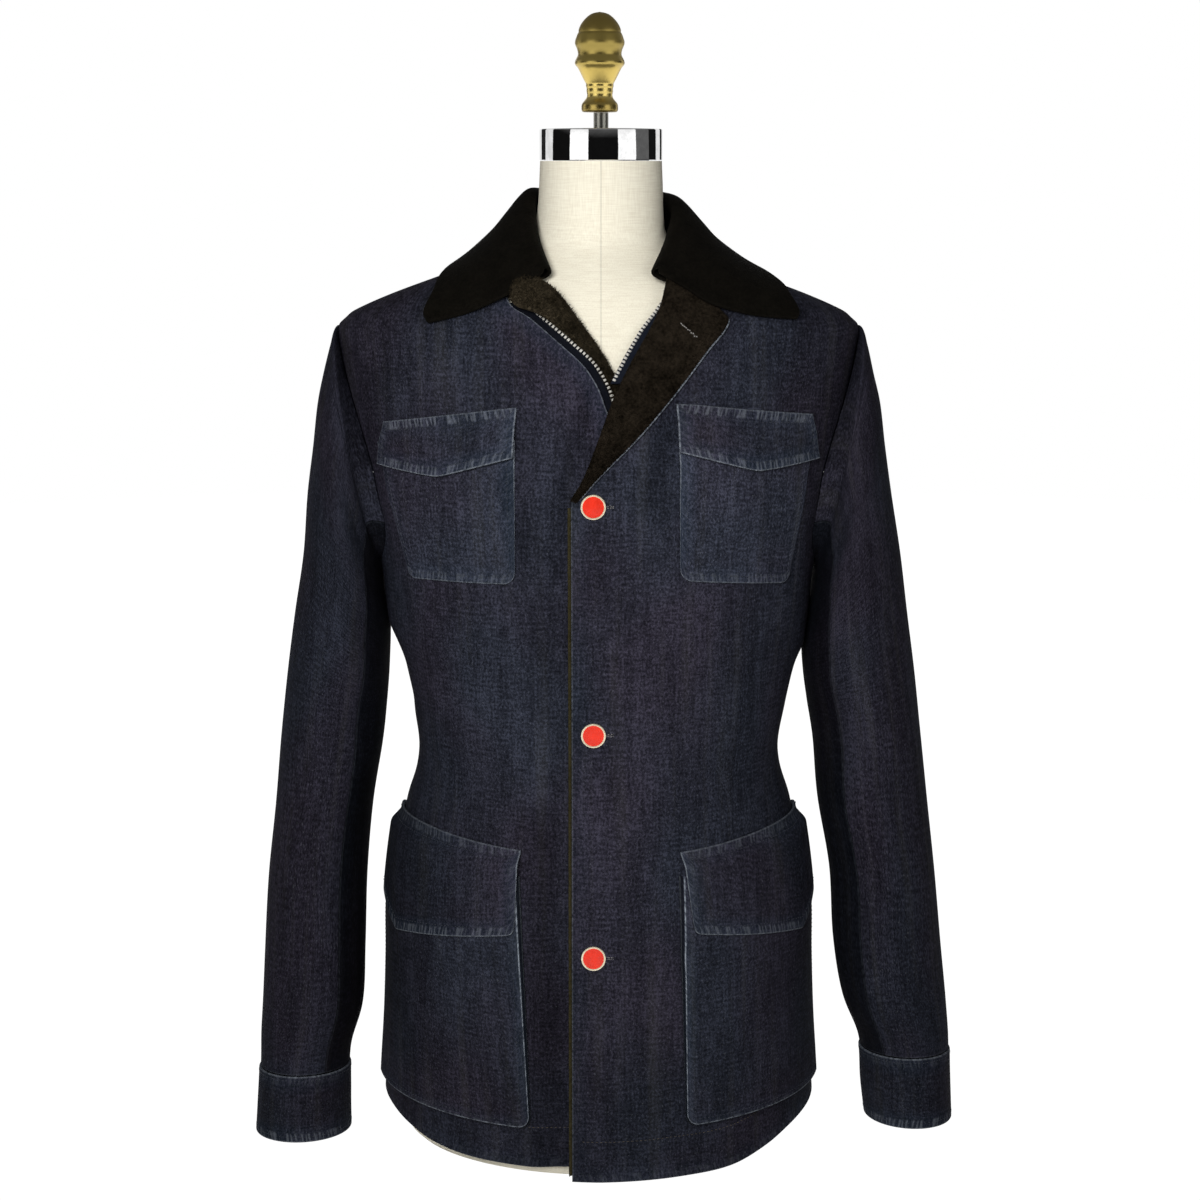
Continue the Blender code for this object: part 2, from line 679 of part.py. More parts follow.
def collar(u, v, layer):
    across = 2 * u - 1
    along = abs(across)
    side = LEFT if across > 0 else RIGHT
    point = collar_point(side, along, v)
    step = 0.01
    around = Vector((1, 0, 0))
    if along >= step:
        end = min(along + step, 1)
        around = collar_point(side, end, v) - collar_point(side, along - step, v)
    over = collar_point(side, along, min(v + step, 1))
    over -= collar_point(side, along, max(v - step, 0))
    normal = over.cross(around).normalized()
    point = point - normal * COLLAR_CLOTH * layer
    point.x *= side
    return point


# ---- Pockets and flaps ----


def outline(pocket, across, up):
    """Girth and height inside a pocket's outline, from its inner (0) to its outer edge (1)."""
    inner = mix(pocket.inner_low, pocket.inner_high, up)
    outer = mix(pocket.outer_low, pocket.outer_high, up)
    low = mix(pocket.bottom, pocket.bottom_outer, across)
    high = mix(pocket.top, pocket.top_outer, across)
    return mix(inner, outer, across), mix(low, high, up)


def spread(share, count, edge, width):
    """Columns of a grid: the first and last stand close to the border, the rest are even."""
    k = round(share * count)
    near = edge / width
    if k <= 1:
        return k * near
    if k >= count - 1:
        return 1 - (count - k) * near
    return mix(near, 1 - near, (k - 1) / (count - 2))


def corner_rise(from_side):
    """How far a rounded lower corner lifts the border this far from the pocket's side."""
    across = max(CORNER_RADIUS - from_side, 0.0)
    return CORNER_RADIUS - math.sqrt(CORNER_RADIUS**2 - across**2)


def patch_pocket(side):
    pocket = CHEST_POCKET[side]

    def place(u, v, layer):
        girth, z = outline(pocket, u, v)
        width = pocket.outer_low - pocket.inner_low
        from_side = min(u, 1 - u) * width
        z += corner_rise(from_side) * (1 - v)
        return girth_point(side, girth, z, LAYER_GAP + POCKET_CLOTH * (1 - layer))

    return place


def patch_flap(side):
    """A flap with a low point in the middle of its free edge, over its pocket."""
    flap = CHEST_FLAP[side]
    over = POCKET_CLOTH + LAYER_GAP

    def place(u, v, layer):
        girth, z = outline(flap, u, v)
        z -= CHEST_FLAP_POINT * (1 - abs(2 * u - 1)) * (1 - v)
        lift = LAYER_GAP + over * ease(1 - v, 0.05, 0.45)
        return girth_point(side, girth, z, lift + FLAP_CLOTH * (1 - layer))

    return place


def bellows_pocket(side):
    """A pocket whose sides and bottom stand off the coat, open at the top below its flap."""
    pocket = HIP_POCKET[side]
    width = pocket.outer_low - pocket.inner_low
    height = pocket.top - pocket.bottom

    def place(u, v, layer):
        inward = POCKET_CLOTH * layer
        across = spread(u, HIP_COLUMNS, BORDER, width)
        row = round(v * HIP_ROWS)
        up = row * BORDER / height if row <= 1 else (row - 1) / (HIP_ROWS - 1)
        across = mix(inward / width, 1 - inward / width, across)
        up = mix(inward / height, 1.0, up)
        girth, z = outline(pocket, across, up)
        from_side = across * width
        z += corner_rise(from_side) * (1 - up)
        at_border = u in (0.0, 1.0) or v == 0.0
        lift = LAYER_GAP if at_border else LAYER_GAP + HIP_POCKET_RISE + POCKET_CLOTH - inward
        return girth_point(side, girth, z, lift)

    return place


def hip_flap(side):
    def place(u, v, layer):
        girth, z = outline(HIP_FLAP[side], u, v)
        z += HIP_FLAP_CLIP * max(u - HIP_FLAP_CLIP_FROM, 0) / (1 - HIP_FLAP_CLIP_FROM) * (1 - v)
        over = HIP_POCKET_RISE + POCKET_CLOTH + LAYER_GAP
        lift = LAYER_GAP + over * ease(1 - v, 0.02, 0.20)
        return girth_point(side, girth, z, lift + FLAP_CLOTH * (1 - layer))

    return place


# ---- Facings, tapes and buttons ----


def strip(side, rows, lift, cloth):
    """A band between two edges that are given by X and height, laid on the body's surface."""

    def place(u, v, layer):
        row = sample(rows, v)
        x, z = mix(row.fold_x, row.edge_x, u), mix(row.fold_z, row.edge_z, u)
        set_back = underlap(x, z) if side == RIGHT else 0.0
        return body_point(turn_at_x(x, z), z, lift + set_back - cloth * layer)

    return place


def edge_facing(u, v, layer):
    """The facing inside the left front, whose edge shows beyond the cloth's."""
    z = mix(HEM[0].left + 0.004, LEFT_FOLD[0].z - 0.002, v)
    x = mix(-LAP_EDGE - EDGE_FACING_PROUD, -LAP_EDGE - EDGE_FACING_PROUD + EDGE_FACING_WIDTH, u)
    return body_point(turn_at_x(x, z), z, -EDGE_FACING_DEPTH - EDGE_FACING_CLOTH * layer)


def left_tape(u, v, layer):
    z = mix(0.6500, 0.7120, v)
    x = sample(LEFT_FOLD, min(z, LEFT_FOLD[-1].z)).x + mix(-TAPE_WIDTH, 0.003, u)
    x += max(z - LEFT_FOLD[-1].z, 0) * 0.75
    return body_point(turn_at_x(x, z), z, -LEFT_TAPE_DEPTH - TAPE_CLOTH * layer)


def right_tape(u, v, layer):
    z = mix(0.6200, 0.7040, v)
    x = sample(RIGHT_EDGE, min(z, RIGHT_EDGE[-1].z)).x + mix(-0.003, TAPE_WIDTH * 0.8, u)
    x -= max(z - RIGHT_EDGE[-1].z, 0) * 1.1
    z += mix(-0.002, 0.004, u)
    return body_point(turn_at_x(x, z), z, underlap(x, z) - RIGHT_TAPE_DEPTH - TAPE_CLOTH * layer)


def button(number, collection):
    z = BUTTON_HEIGHTS[number]
    turn = turn_at_x(BUTTON_X, z)
    base = body_point(turn, z, BUTTON_GAP)
    outward = (body_point(turn, z, 0.01) - body_point(turn, z)).normalized()
    top = SHANK_LENGTH + BUTTON_THICK
    profile = (
        (0.0, top - 0.0006),
        (BUTTON_RADIUS - 0.0014, top - 0.0006),
        (BUTTON_RADIUS - 0.0009, top),
        (BUTTON_RADIUS - 0.0003, top - 0.0001),
        (BUTTON_RADIUS, top - 0.0012),
        (BUTTON_RADIUS - 0.0016, SHANK_LENGTH),
        (SHANK_RADIUS, SHANK_LENGTH - 0.0002),
        (SHANK_RADIUS, 0.0),
        (0.0, 0.0),
    )
    made = turned(f"button_{number + 1}", profile, base, 20, "enamel", collection)
    made.rotation_euler = outward.to_track_quat("Z", "Y").to_euler()
    return made


# ---- The dress form ----


def form_point(turn, z):
    """A point of the torso inside the coat: a little below it on the shoulders, which carry the
    coat, and well clear of it elsewhere. Flat plates close it where arms would be."""
    top = ease(z, 0.60, 0.70)
    waist = ease(z, 0.05, 0.30) * (1 - ease(z, 0.38, 0.60))
    side_room = mix(mix(SIDE_ROOM, WAIST_ROOM, waist), SHOULDER_ROOM, top)
    front_room = mix(mix(FRONT_ROOM, WAIST_ROOM, waist), NECK_ROOM, top)
    back_room = mix(mix(SIDE_ROOM, WAIST_ROOM, waist), BACK_ROOM, top)
    facing = math.cos(turn)
    room = mix(side_room, front_room if facing > 0 else back_room, ease(abs(facing), 0.1, 0.75))
    point = body_point(turn, z, -CLOTH - room)
    point.x = min(max(point.x, -PLATE_X), PLATE_X)
    return point


FORM_HEIGHTS = (
    0.030, 0.070, 0.120, 0.170, 0.220, 0.270, 0.310, 0.340, 0.370, 0.410, 0.450, 0.490, 0.530,
    0.570, 0.600, 0.630, 0.655, 0.672, 0.685, 0.694, 0.702, 0.7095, 0.717, 0.7245, 0.732, 0.739,
)
NeckRow = namedtuple("NeckRow", "z half front back")
FORM_NECK = (
    NeckRow(0.7440, 0.0665, 0.0590, 0.0720),
    NeckRow(0.7510, 0.0590, 0.0540, 0.0610),
    NeckRow(0.7620, 0.0540, 0.0505, 0.0550),
    NeckRow(0.7800, 0.0512, 0.0490, 0.0518),
    NeckRow(0.8000, 0.0502, 0.0485, 0.0505),
    NeckRow(CAP_BOTTOM - SEAM_GAP, 0.0494, 0.0485, 0.0495),
)
FORM_FOOT_INSET = 0.0040
FORM_FOOT_RISE = 0.0045


def dress_form(collection):
    mesh = bmesh.new()
    levels = 2 + len(FORM_HEIGHTS) + len(FORM_NECK)
    made = bmesh.ops.create_grid(mesh, x_segments=FORM_COLUMNS, y_segments=levels - 1, size=0.5)
    for vert in made["verts"]:
        turn = (vert.co.x + 0.5) * 2 * math.pi
        level = round((vert.co.y + 0.5) * (levels - 1))
        if level < 2:
            point = form_point(turn, FORM_FOOT_RISE)
            if level == 0:
                point -= Vector((math.sin(turn), -math.cos(turn), 0)) * FORM_FOOT_INSET
            point.z = level * FORM_FOOT_RISE
        elif level < 2 + len(FORM_HEIGHTS):
            point = form_point(turn, FORM_HEIGHTS[level - 2])
        else:
            row = FORM_NECK[level - 2 - len(FORM_HEIGHTS)]
            reach = row.front if math.cos(turn) > 0 else row.back
            shift = NECK_X * ease(row.z, 0.74, 0.80)
            point = Vector((shift + row.half * math.sin(turn), NECK_Y - reach * math.cos(turn), row.z))
        vert.co = point
    bmesh.ops.remove_doubles(mesh, verts=mesh.verts, dist=1e-6)
    ends = [edge for edge in mesh.edges if edge.is_boundary]
    bmesh.ops.contextual_create(mesh, geom=[edge for edge in ends if edge.verts[0].co.z < 0.1])
    bmesh.ops.contextual_create(mesh, geom=[edge for edge in ends if edge.verts[0].co.z > 0.1])
    bmesh.ops.recalc_face_normals(mesh, faces=mesh.faces)
    return as_object(mesh, "form_torso", "linen", collection)


def neck_cap(collection):
    profile = (
        (0.0, CAP_TOP),
        (CAP_RADIUS - 0.0025, CAP_TOP),
        (CAP_RADIUS - 0.0006, CAP_TOP - 0.0006),
        (CAP_RADIUS, CAP_TOP - 0.0025),
        (CAP_RADIUS, CAP_BOTTOM + 0.0015),
        (CAP_RADIUS - 0.0010, CAP_BOTTOM),
        (0.0, CAP_BOTTOM),
    )
    return turned("neck_cap", profile, (NECK_X, NECK_Y, 0), 32, "chrome", collection)


def finial_parts(collection):
    base = CAP_TOP + SEAM_GAP
    top = base + ROD_LENGTH
    rod = ((0.0, top), (ROD_RADIUS, top), (ROD_RADIUS, base), (0.0, base))
    turned("rod", rod, (NECK_X, NECK_Y, 0), 16, "steel", collection)
    foot = top + SEAM_GAP
    profile = (
        (0.0000, foot + 0.0790),
        (0.0080, foot + 0.0775),
        (0.0145, foot + 0.0725),
        (0.0185, foot + 0.0655),
        (0.0202, foot + 0.0580),
        (0.0190, foot + 0.0555),
        (0.0207, foot + 0.0520),
        (0.0194, foot + 0.0485),
        (0.0203, foot + 0.0445),
        (0.0186, foot + 0.0415),
        (0.0188, foot + 0.0375),
        (0.0165, foot + 0.0300),
        (0.0115, foot + 0.0245),
        (0.0098, foot + 0.0205),
        (0.0122, foot + 0.0185),
        (0.0112, foot + 0.0160),
        (0.0102, foot + 0.0135),
        (0.0122, foot + 0.0105),
        (0.0150, foot + 0.0080),
        (0.0150, foot + 0.0050),
        (0.0120, foot + 0.0015),
        (0.0095, foot + 0.0000),
        (0.0000, foot + 0.0000),
    )
    turned("finial", profile, (NECK_X - FINIAL_OFFSET, NECK_Y, 0), 24, "brass", collection)


def main():
    clear_scene()
    collection = bpy.data.collections.new("overcoat_on_dress_form")
    bpy.context.scene.collection.children.link(collection)
    wall("back", BACK_COLUMNS, BODY_ROWS, back_panel, "denim", collection)
    for name, side in SIDES:
        wall(f"front_{name}", FRONT_COLUMNS, BODY_ROWS, front_panel(side), "denim", collection)
        top = sleeve_panel(side, BACK_SLEEVE_SEAM, FRONT_SLEEVE_SEAM)
        under = sleeve_panel(side, FRONT_SLEEVE_SEAM, BACK_SLEEVE_SEAM + 2 * math.pi)
        rows = len(SLEEVE_PARTS) - 1
        wall(f"top_sleeve_{name}", 13, rows, top, "denim", collection)
        wall(f"under_sleeve_{name}", 7, rows, under, "denim", collection)
        wall(f"cuff_{name}", 20, 3, cuff(side), "denim", collection, tube=True)
        wall(f"chest_pocket_{name}", 7, 5, patch_pocket(side), "denim", collection)
        wall(f"chest_flap_{name}", 8, 4, patch_flap(side), "denim", collection)
        wall(f"hip_pocket_{name}", HIP_COLUMNS, HIP_ROWS, bellows_pocket(side), "denim", collection)
        wall(f"hip_flap_{name}", 10, 5, hip_flap(side), "denim", collection)
    wall("collar", 26, 8, collar, "pile", collection)
    lapel = strip(LEFT, LAPEL, LAYER_GAP + LAPEL_CLOTH, LAPEL_CLOTH)
    wall("lapel_facing_left", 3, 9, lapel, "shearling", collection)
    roll = strip(RIGHT, RIGHT_ROLL, -FACING_DEPTH, FACING_CLOTH)
    wall("neck_facing_right", 3, 8, roll, "shearling", collection)
    wall("edge_facing_left", 2, 20, edge_facing, "shearling", collection)
    wall("zip_tape_left", 2, 6, left_tape, "tape", collection)
    wall("zip_tape_right", 2, 8, right_tape, "tape", collection)
    for number in range(len(BUTTON_HEIGHTS)):
        button(number, collection)
    dress_form(collection)
    neck_cap(collection)
    finial_parts(collection)


main()
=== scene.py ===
# %% [markdown]
# A denim coat on a tailor's dress form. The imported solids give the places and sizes. This script
# dresses them: it makes each cloth piece again as a fine shell with a folded edge, soft creases,
# sewing and wear, and adds the small metal and enamel pieces. All lengths are in metres, +Z is up,
# the front faces -Y, and left and right are the wearer's, so the left side is at +X.

# %% Load the solids
import math

import bmesh
import bpy
import numpy as np
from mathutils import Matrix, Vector


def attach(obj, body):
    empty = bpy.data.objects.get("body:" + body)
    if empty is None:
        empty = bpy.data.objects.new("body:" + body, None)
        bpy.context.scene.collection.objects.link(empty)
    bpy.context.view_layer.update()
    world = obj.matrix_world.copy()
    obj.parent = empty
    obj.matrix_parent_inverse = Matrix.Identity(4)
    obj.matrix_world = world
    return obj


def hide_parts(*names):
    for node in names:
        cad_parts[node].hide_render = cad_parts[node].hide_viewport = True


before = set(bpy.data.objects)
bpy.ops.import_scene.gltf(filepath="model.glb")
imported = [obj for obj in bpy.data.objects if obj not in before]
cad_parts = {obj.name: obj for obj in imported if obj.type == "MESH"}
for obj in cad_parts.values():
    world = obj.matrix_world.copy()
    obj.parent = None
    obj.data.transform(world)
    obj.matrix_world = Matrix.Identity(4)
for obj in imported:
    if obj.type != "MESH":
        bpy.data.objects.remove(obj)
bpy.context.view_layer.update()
bpy.ops.object.select_all(action="DESELECT")

# %% [markdown]
# The camera comes first, because every later choice is judged through it. It stands 1.92 m in
# front of the form, level with the top of its neck, with a 70 mm lens, and looks a little down, so
# the hem shows as a flat ellipse and the ring on the neck is nearly straight.

# %% Camera
FRAME_SIZE, HORIZON_ROW = 1200, 165
LENS, SENSOR = 70.0, 36.0
CAMERA_PLACE = (0.0012, -1.92, 0.815)
camera_data = bpy.data.cameras.new("camera")
camera_data.lens, camera_data.sensor_width = LENS, SENSOR
camera = bpy.data.objects.new("camera", camera_data)
tilt = math.atan((FRAME_SIZE / 2 - HORIZON_ROW) / (LENS / SENSOR * FRAME_SIZE))
camera.location = CAMERA_PLACE
camera.rotation_euler = (math.pi / 2 - tilt, 0, 0)
bpy.context.collection.objects.link(camera)
bpy.context.scene.camera = camera
bpy.context.scene.view_settings.view_transform = "Standard"
print("camera tilt", round(math.degrees(tilt), 2), "degrees")

# %% [markdown]
# The coat's body is a stack of rings. Each ring is half an oval at the front and half an oval at
# the back, and a smooth curve is read through the table, so a point can be asked for at any height.
# The same tables shaped the solids, so the shells made here lie on them.

# %% Tables of the body
# height, half the width, front depth, the widest point's Y, back depth
RINGS = [
    (0.000, 0.1875, 0.1430, 0.010, 0.150), (0.050, 0.1845, 0.1440, 0.010, 0.151),
    (0.105, 0.1800, 0.1440, 0.009, 0.150), (0.155, 0.1775, 0.1425, 0.008, 0.147),
    (0.200, 0.1762, 0.1400, 0.006, 0.143), (0.240, 0.1715, 0.1365, 0.004, 0.138),
    (0.290, 0.1620, 0.1315, 0.002, 0.130), (0.332, 0.1500, 0.1280, 0.000, 0.122),
    (0.370, 0.1565, 0.1265, -0.001, 0.119), (0.409, 0.1645, 0.1270, -0.002, 0.121),
    (0.440, 0.1708, 0.1290, -0.002, 0.125), (0.488, 0.1765, 0.1320, -0.002, 0.131),
    (0.540, 0.1880, 0.1345, -0.001, 0.138), (0.600, 0.2000, 0.1320, 0.001, 0.141),
    (0.640, 0.2075, 0.1240, 0.002, 0.137), (0.670, 0.2120, 0.1125, 0.003, 0.128),
    (0.6865, 0.2125, 0.1045, 0.003, 0.121), (0.6925, 0.2070, 0.1015, 0.004, 0.118),
    (0.6984, 0.1995, 0.0985, 0.004, 0.115), (0.7106, 0.1720, 0.0915, 0.005, 0.109),
    (0.7228, 0.1390, 0.0840, 0.006, 0.103), (0.7370, 0.0980, 0.0735, 0.007, 0.094),
    (0.7445, 0.0755, 0.0670, 0.008, 0.088), (0.7600, 0.0560, 0.0540, 0.008, 0.074),
]
# degrees round from the front, the left hem's height, the right hem's height
HEM = [
    (0, 0.0015, 0.0122), (22, 0.0026, 0.0124), (36, 0.0040, 0.0130), (48, 0.0116, 0.0162),
    (60, 0.0198, 0.0222), (74, 0.0242, 0.0275), (96, 0.0250, 0.0275), (140, 0.0190, 0.0190),
    (180, 0.0160, 0.0160),
]
# step above the underarm, height at the front edge, at the back's middle, below the neck point
UPPER = [
    (0, 0.4880, 0.4880, 0.4880), (1, 0.5300, 0.5120, 0.5140), (2, 0.5700, 0.5360, 0.5410),
    (3, 0.6100, 0.5620, 0.5700), (4, 0.6500, 0.5900, 0.6010), (5, 0.6850, 0.6190, 0.6330),
    (6, 0.7115, 0.6480, 0.6640), (7, 0.7260, 0.6760, 0.6930), (8, 0.7350, 0.7020, 0.7165),
    (9, 0.7415, 0.7240, 0.7335), (10, 0.7445, 0.7420, 0.7445),
]
# height and X of the two fronts' free edges, and height and degrees of the neck's edge
LEFT_FOLD = [
    (0.5560, -0.0215), (0.5660, -0.0190), (0.5760, -0.0100), (0.6061, -0.0003),
    (0.6364, 0.0112), (0.6640, 0.0250), (0.6889, 0.0397), (0.7060, 0.0530),
]
RIGHT_EDGE = [
    (0.5900, 0.0180), (0.6150, 0.0125), (0.6335, 0.0053), (0.6475, -0.0001),
    (0.6632, -0.0109), (0.6787, -0.0290), (0.6900, -0.0430), (0.7000, -0.0555),
]
NECK_EDGE = [(0.7115, 24.5), (0.7240, 33.0), (0.7350, 49.0), (0.7415, 67.0), (0.7445, 90.0)]
# the cloth's thickness, the gap between layers, and how one front is divided into steps of height
CLOTH, LAYER_GAP = 0.0022, 0.0007
UNDERARM, SHOULDER_TIP = 0.488, 0.6865
SIDE_SEAM = math.radians(96)
LOWER_STEPS, STEPS = 12, 22
print("body rings", len(RINGS), "from", RINGS[0][0], "to", RINGS[-1][0], "m")

# %% [markdown]
# A table alone gives a body with corners at every row. A smooth curve through the rows is what a
# tailor's curved ruler draws, so the tables are read that way: each stretch leaves and arrives in
# the direction of its neighbours. A few small helpers blend values, because nearly every shape
# below fades from one size to another.


# %% Reading the tables
def smooth_run(low, high, leave, arrive, s):
    """A place between two points, with the directions in which the curve leaves and arrives."""
    value = low * (2 * s**3 - 3 * s**2 + 1) + leave * (s**3 - 2 * s**2 + s)
    return value + high * (3 * s**2 - 2 * s**3) + arrive * (s**3 - s**2)


def read(table, at):
    """A table's columns at a place, on a smooth curve through its rows."""
    table = np.asarray(table, float)
    at = np.clip(np.asarray(at, float), table[0, 0], table[-1, 0])
    k = np.clip(np.searchsorted(table[:, 0], at, side="right") - 1, 0, len(table) - 2)
    low, high = table[k], table[k + 1]
    before, after = table[np.maximum(k - 1, 0)], table[np.minimum(k + 2, len(table) - 1)]
    span = high[..., :1] - low[..., :1]
    s = (at[..., None] - low[..., :1]) / span
    leave = (high - before) / (high[..., :1] - before[..., :1]) * span
    arrive = (after - low) / (after[..., :1] - low[..., :1]) * span
    return np.moveaxis(smooth_run(low, high, leave, arrive, s), -1, 0)[1:]


def ease(value, low, high):
    """Rises softly from 0 at the low value to 1 at the high one."""
    share = np.clip((value - low) / (high - low), 0, 1)
    return share * share * (3 - 2 * share)


def mix(low, high, share):
    return low + (high - low) * share


def unit(vectors):
    return vectors / np.maximum(np.linalg.norm(vectors, axis=-1, keepdims=True), 1e-12)


print("tables read; waist half width", round(float(read(RINGS, 0.332)[0]), 4))

# %% [markdown]
# Cloth on a form is nearly smooth, but never quite. Each crease here is a line of points seen from
# the front or the back, with a width and a height: a soft ridge where the height is above zero and
# a trough where it is below. All that lies on the body is made from this surface, so a pocket
# follows the crease beneath it.

# %% Creases of the body
# half width, height, then X and Z of the points it runs through
UNDERARM_CREASES = [
    (0.016, 0.0044, [(0.190, 0.492), (0.185, 0.470), (0.176, 0.440), (0.171, 0.428)]),
    (0.016, 0.0052, [(-0.184, 0.495), (-0.178, 0.470), (-0.175, 0.447)]),
    (0.018, -0.0026, [(-0.164, 0.404), (-0.158, 0.382)]),
]
FRONT_CREASES = [
    (0.010, -0.0030, [(0.060, 0.600), (0.058, 0.625), (0.066, 0.655), (0.078, 0.680)]),
    (0.012, 0.0016, [(0.074, 0.580), (0.078, 0.640)]),
    (0.013, 0.0018, [(-0.052, 0.690), (-0.040, 0.650), (-0.028, 0.615), (-0.026, 0.580)]),
    (0.012, -0.0016, [(-0.075, 0.670), (-0.060, 0.630), (-0.052, 0.590)]),
    (0.016, 0.0012, [(-0.110, 0.700), (-0.120, 0.660), (-0.135, 0.610)]),
    (0.014, -0.0012, [(0.120, 0.700), (0.150, 0.650), (0.165, 0.600)]),
    (0.015, 0.0022, [(-0.165, 0.560), (-0.160, 0.510), (-0.148, 0.470), (-0.135, 0.435)]),
    (0.012, -0.0018, [(-0.176, 0.530), (-0.172, 0.490), (-0.162, 0.450)]),
    (0.015, 0.0020, [(0.168, 0.550), (0.165, 0.500), (0.156, 0.455)]),
    (0.012, -0.0015, [(0.178, 0.520), (0.176, 0.480), (0.166, 0.440)]),
    (0.018, 0.0016, [(-0.150, 0.330), (-0.110, 0.365), (-0.075, 0.420)]),
    (0.016, -0.0012, [(-0.140, 0.300), (-0.095, 0.335), (-0.055, 0.385)]),
    (0.018, 0.0014, [(0.150, 0.335), (0.115, 0.370), (0.085, 0.420)]),
    (0.016, -0.0011, [(0.140, 0.305), (0.100, 0.338), (0.070, 0.375)]),
    (0.012, 0.0010, [(0.030, 0.480), (0.034, 0.380), (0.030, 0.300)]),
    (0.014, -0.0010, [(0.052, 0.260), (0.050, 0.150), (0.060, 0.040)]),
    (0.012, 0.0010, [(-0.040, 0.300), (-0.044, 0.180), (-0.040, 0.060)]),
    (0.010, -0.0012, [(0.040, 0.185), (0.085, 0.195)]),
    (0.010, 0.0012, [(0.020, 0.190), (0.032, 0.130), (0.030, 0.060)]),
] + UNDERARM_CREASES
BACK_CREASES = [
    (0.016, 0.0016, [(-0.150, 0.335), (-0.110, 0.360), (-0.060, 0.400)]),
    (0.016, -0.0014, [(-0.140, 0.305), (-0.090, 0.330), (-0.040, 0.350)]),
    (0.016, 0.0016, [(0.150, 0.330), (0.105, 0.355), (0.065, 0.405)]),
    (0.016, -0.0014, [(0.140, 0.300), (0.085, 0.325), (0.030, 0.345)]),
    (0.018, 0.0012, [(-0.100, 0.340), (0.000, 0.325), (0.100, 0.338)]),
    (0.015, 0.0018, [(-0.170, 0.560), (-0.160, 0.500), (-0.145, 0.450)]),
    (0.015, 0.0018, [(0.170, 0.555), (0.162, 0.495), (0.148, 0.440)]),
    (0.020, 0.0014, [(-0.060, 0.240), (-0.070, 0.120), (-0.066, 0.020)]),
    (0.020, 0.0014, [(0.055, 0.250), (0.068, 0.110), (0.062, 0.020)]),
    (0.014, -0.0012, [(-0.060, 0.700), (-0.090, 0.650), (-0.120, 0.610)]),
    (0.014, -0.0012, [(0.062, 0.702), (0.094, 0.655), (0.118, 0.612)]),
] + UNDERARM_CREASES


def from_line(x, z, line):
    """How far points lie from a line of straight runs."""
    line = np.asarray(line, float)
    nearest = np.full(np.shape(x), 1e9)
    for (ax, az), (bx, bz) in zip(line, line[1:]):
        run = (bx - ax) ** 2 + (bz - az) ** 2
        share = np.clip(((x - ax) * (bx - ax) + (z - az) * (bz - az)) / run, 0, 1)
        nearest = np.minimum(nearest, np.hypot(x - ax - share * (bx - ax), z - az - share * (bz - az)))
    return nearest


def relief(x, z, front):
    """The height of the creases at a place on the front (1) or the back (0)."""
    height = np.zeros(np.shape(x))
    for creases, share in ((FRONT_CREASES, front), (BACK_CREASES, 1 - front)):
        for width, rise, line in creases:
            height += rise * np.exp(-((from_line(x, z, line) / width) ** 2)) * share
    return height

print("creases", len(FRONT_CREASES), "in front and", len(BACK_CREASES), "behind")

# %% [markdown]
# The body's surface is the ring at a height, moved out along its normal. The normal is measured
# from near neighbours, which works for any table and needs no formula of its own. The creases
# fade out below the collar, so that the neck seam stays true.

# %% The body's surface
TURN_STEP, HEIGHT_STEP = 0.01, 0.0015


def on_ring(turn, z):
    half, front, mid, back = read(RINGS, z)
    reach = np.where(np.cos(turn) > 0, mid + front, back - mid)
    return np.stack([half * np.sin(turn), mid - reach * np.cos(turn), z + 0 * turn], -1)


def on_body(turn, z, out=0.0, creased=True):
    """A point of the coat's outside, moved out along its normal."""
    turn, z = np.broadcast_arrays(np.asarray(turn, float), np.asarray(z, float))
    across = on_ring(turn + TURN_STEP, z) - on_ring(turn - TURN_STEP, z)
    up = on_ring(turn, z + HEIGHT_STEP) - on_ring(turn, z - HEIGHT_STEP)
    point = on_ring(turn, z)
    normal = unit(np.cross(across, up))
    if creased:
        fade = 1 - ease(z, 0.71, 0.735)
        out = out + relief(point[..., 0], z, ease(np.cos(turn), -0.15, 0.15)) * fade
    return point + normal * (out + 0 * turn)[..., None]


def turn_at_x(x, z):
    return np.arcsin(np.clip(x / read(RINGS, z)[0], -1, 1))


print("chest depth", round(float(np.ptp(on_body(np.array([0, math.pi]), 0.6)[:, 1])), 3), "m")

# %% [markdown]
# These bands are painted shade: they darken the front where it lies in shade, beside the placket
# and the lapel and towards the sides. They are kept with the shape and not in the material, because
# they follow the coat's own lines.

# %% Painted shade on the front
# width, strength, then X and Z of bands of the front
PAINTED_SHADE_BANDS = [
    (0.020, 0.42, [(-0.043, 0.300), (-0.040, 0.010)]),
    (0.012, 0.35, [(0.067, 0.655), (0.050, 0.610), (0.040, 0.560)]),
    (0.008, 0.35, [(-0.008, 0.640), (-0.024, 0.590), (-0.031, 0.500)]),
    (0.010, 0.25, [(-0.060, 0.620), (-0.059, 0.520)]),
    (0.030, 0.30, [(-0.165, 0.300), (-0.175, 0.100)]),
    (0.020, 0.20, [(-0.030, 0.460), (-0.032, 0.330)]),
]


def bands(x, z, front):
    """How much painted shade darkens the cloth at a place: 0 where none is painted."""
    dark = np.zeros(np.shape(x))
    for width, strength, line in PAINTED_SHADE_BANDS:
        dark = np.maximum(dark, strength * np.exp(-((from_line(x, z, line) / width) ** 2)))
    return dark * front


# %% [markdown]
# A tailor measures round a body with a tape, so the pockets and the weave are placed that way: so
# much girth from the front's middle. The girths are added up once, on a grid of heights and
# turns, and read back in both directions.

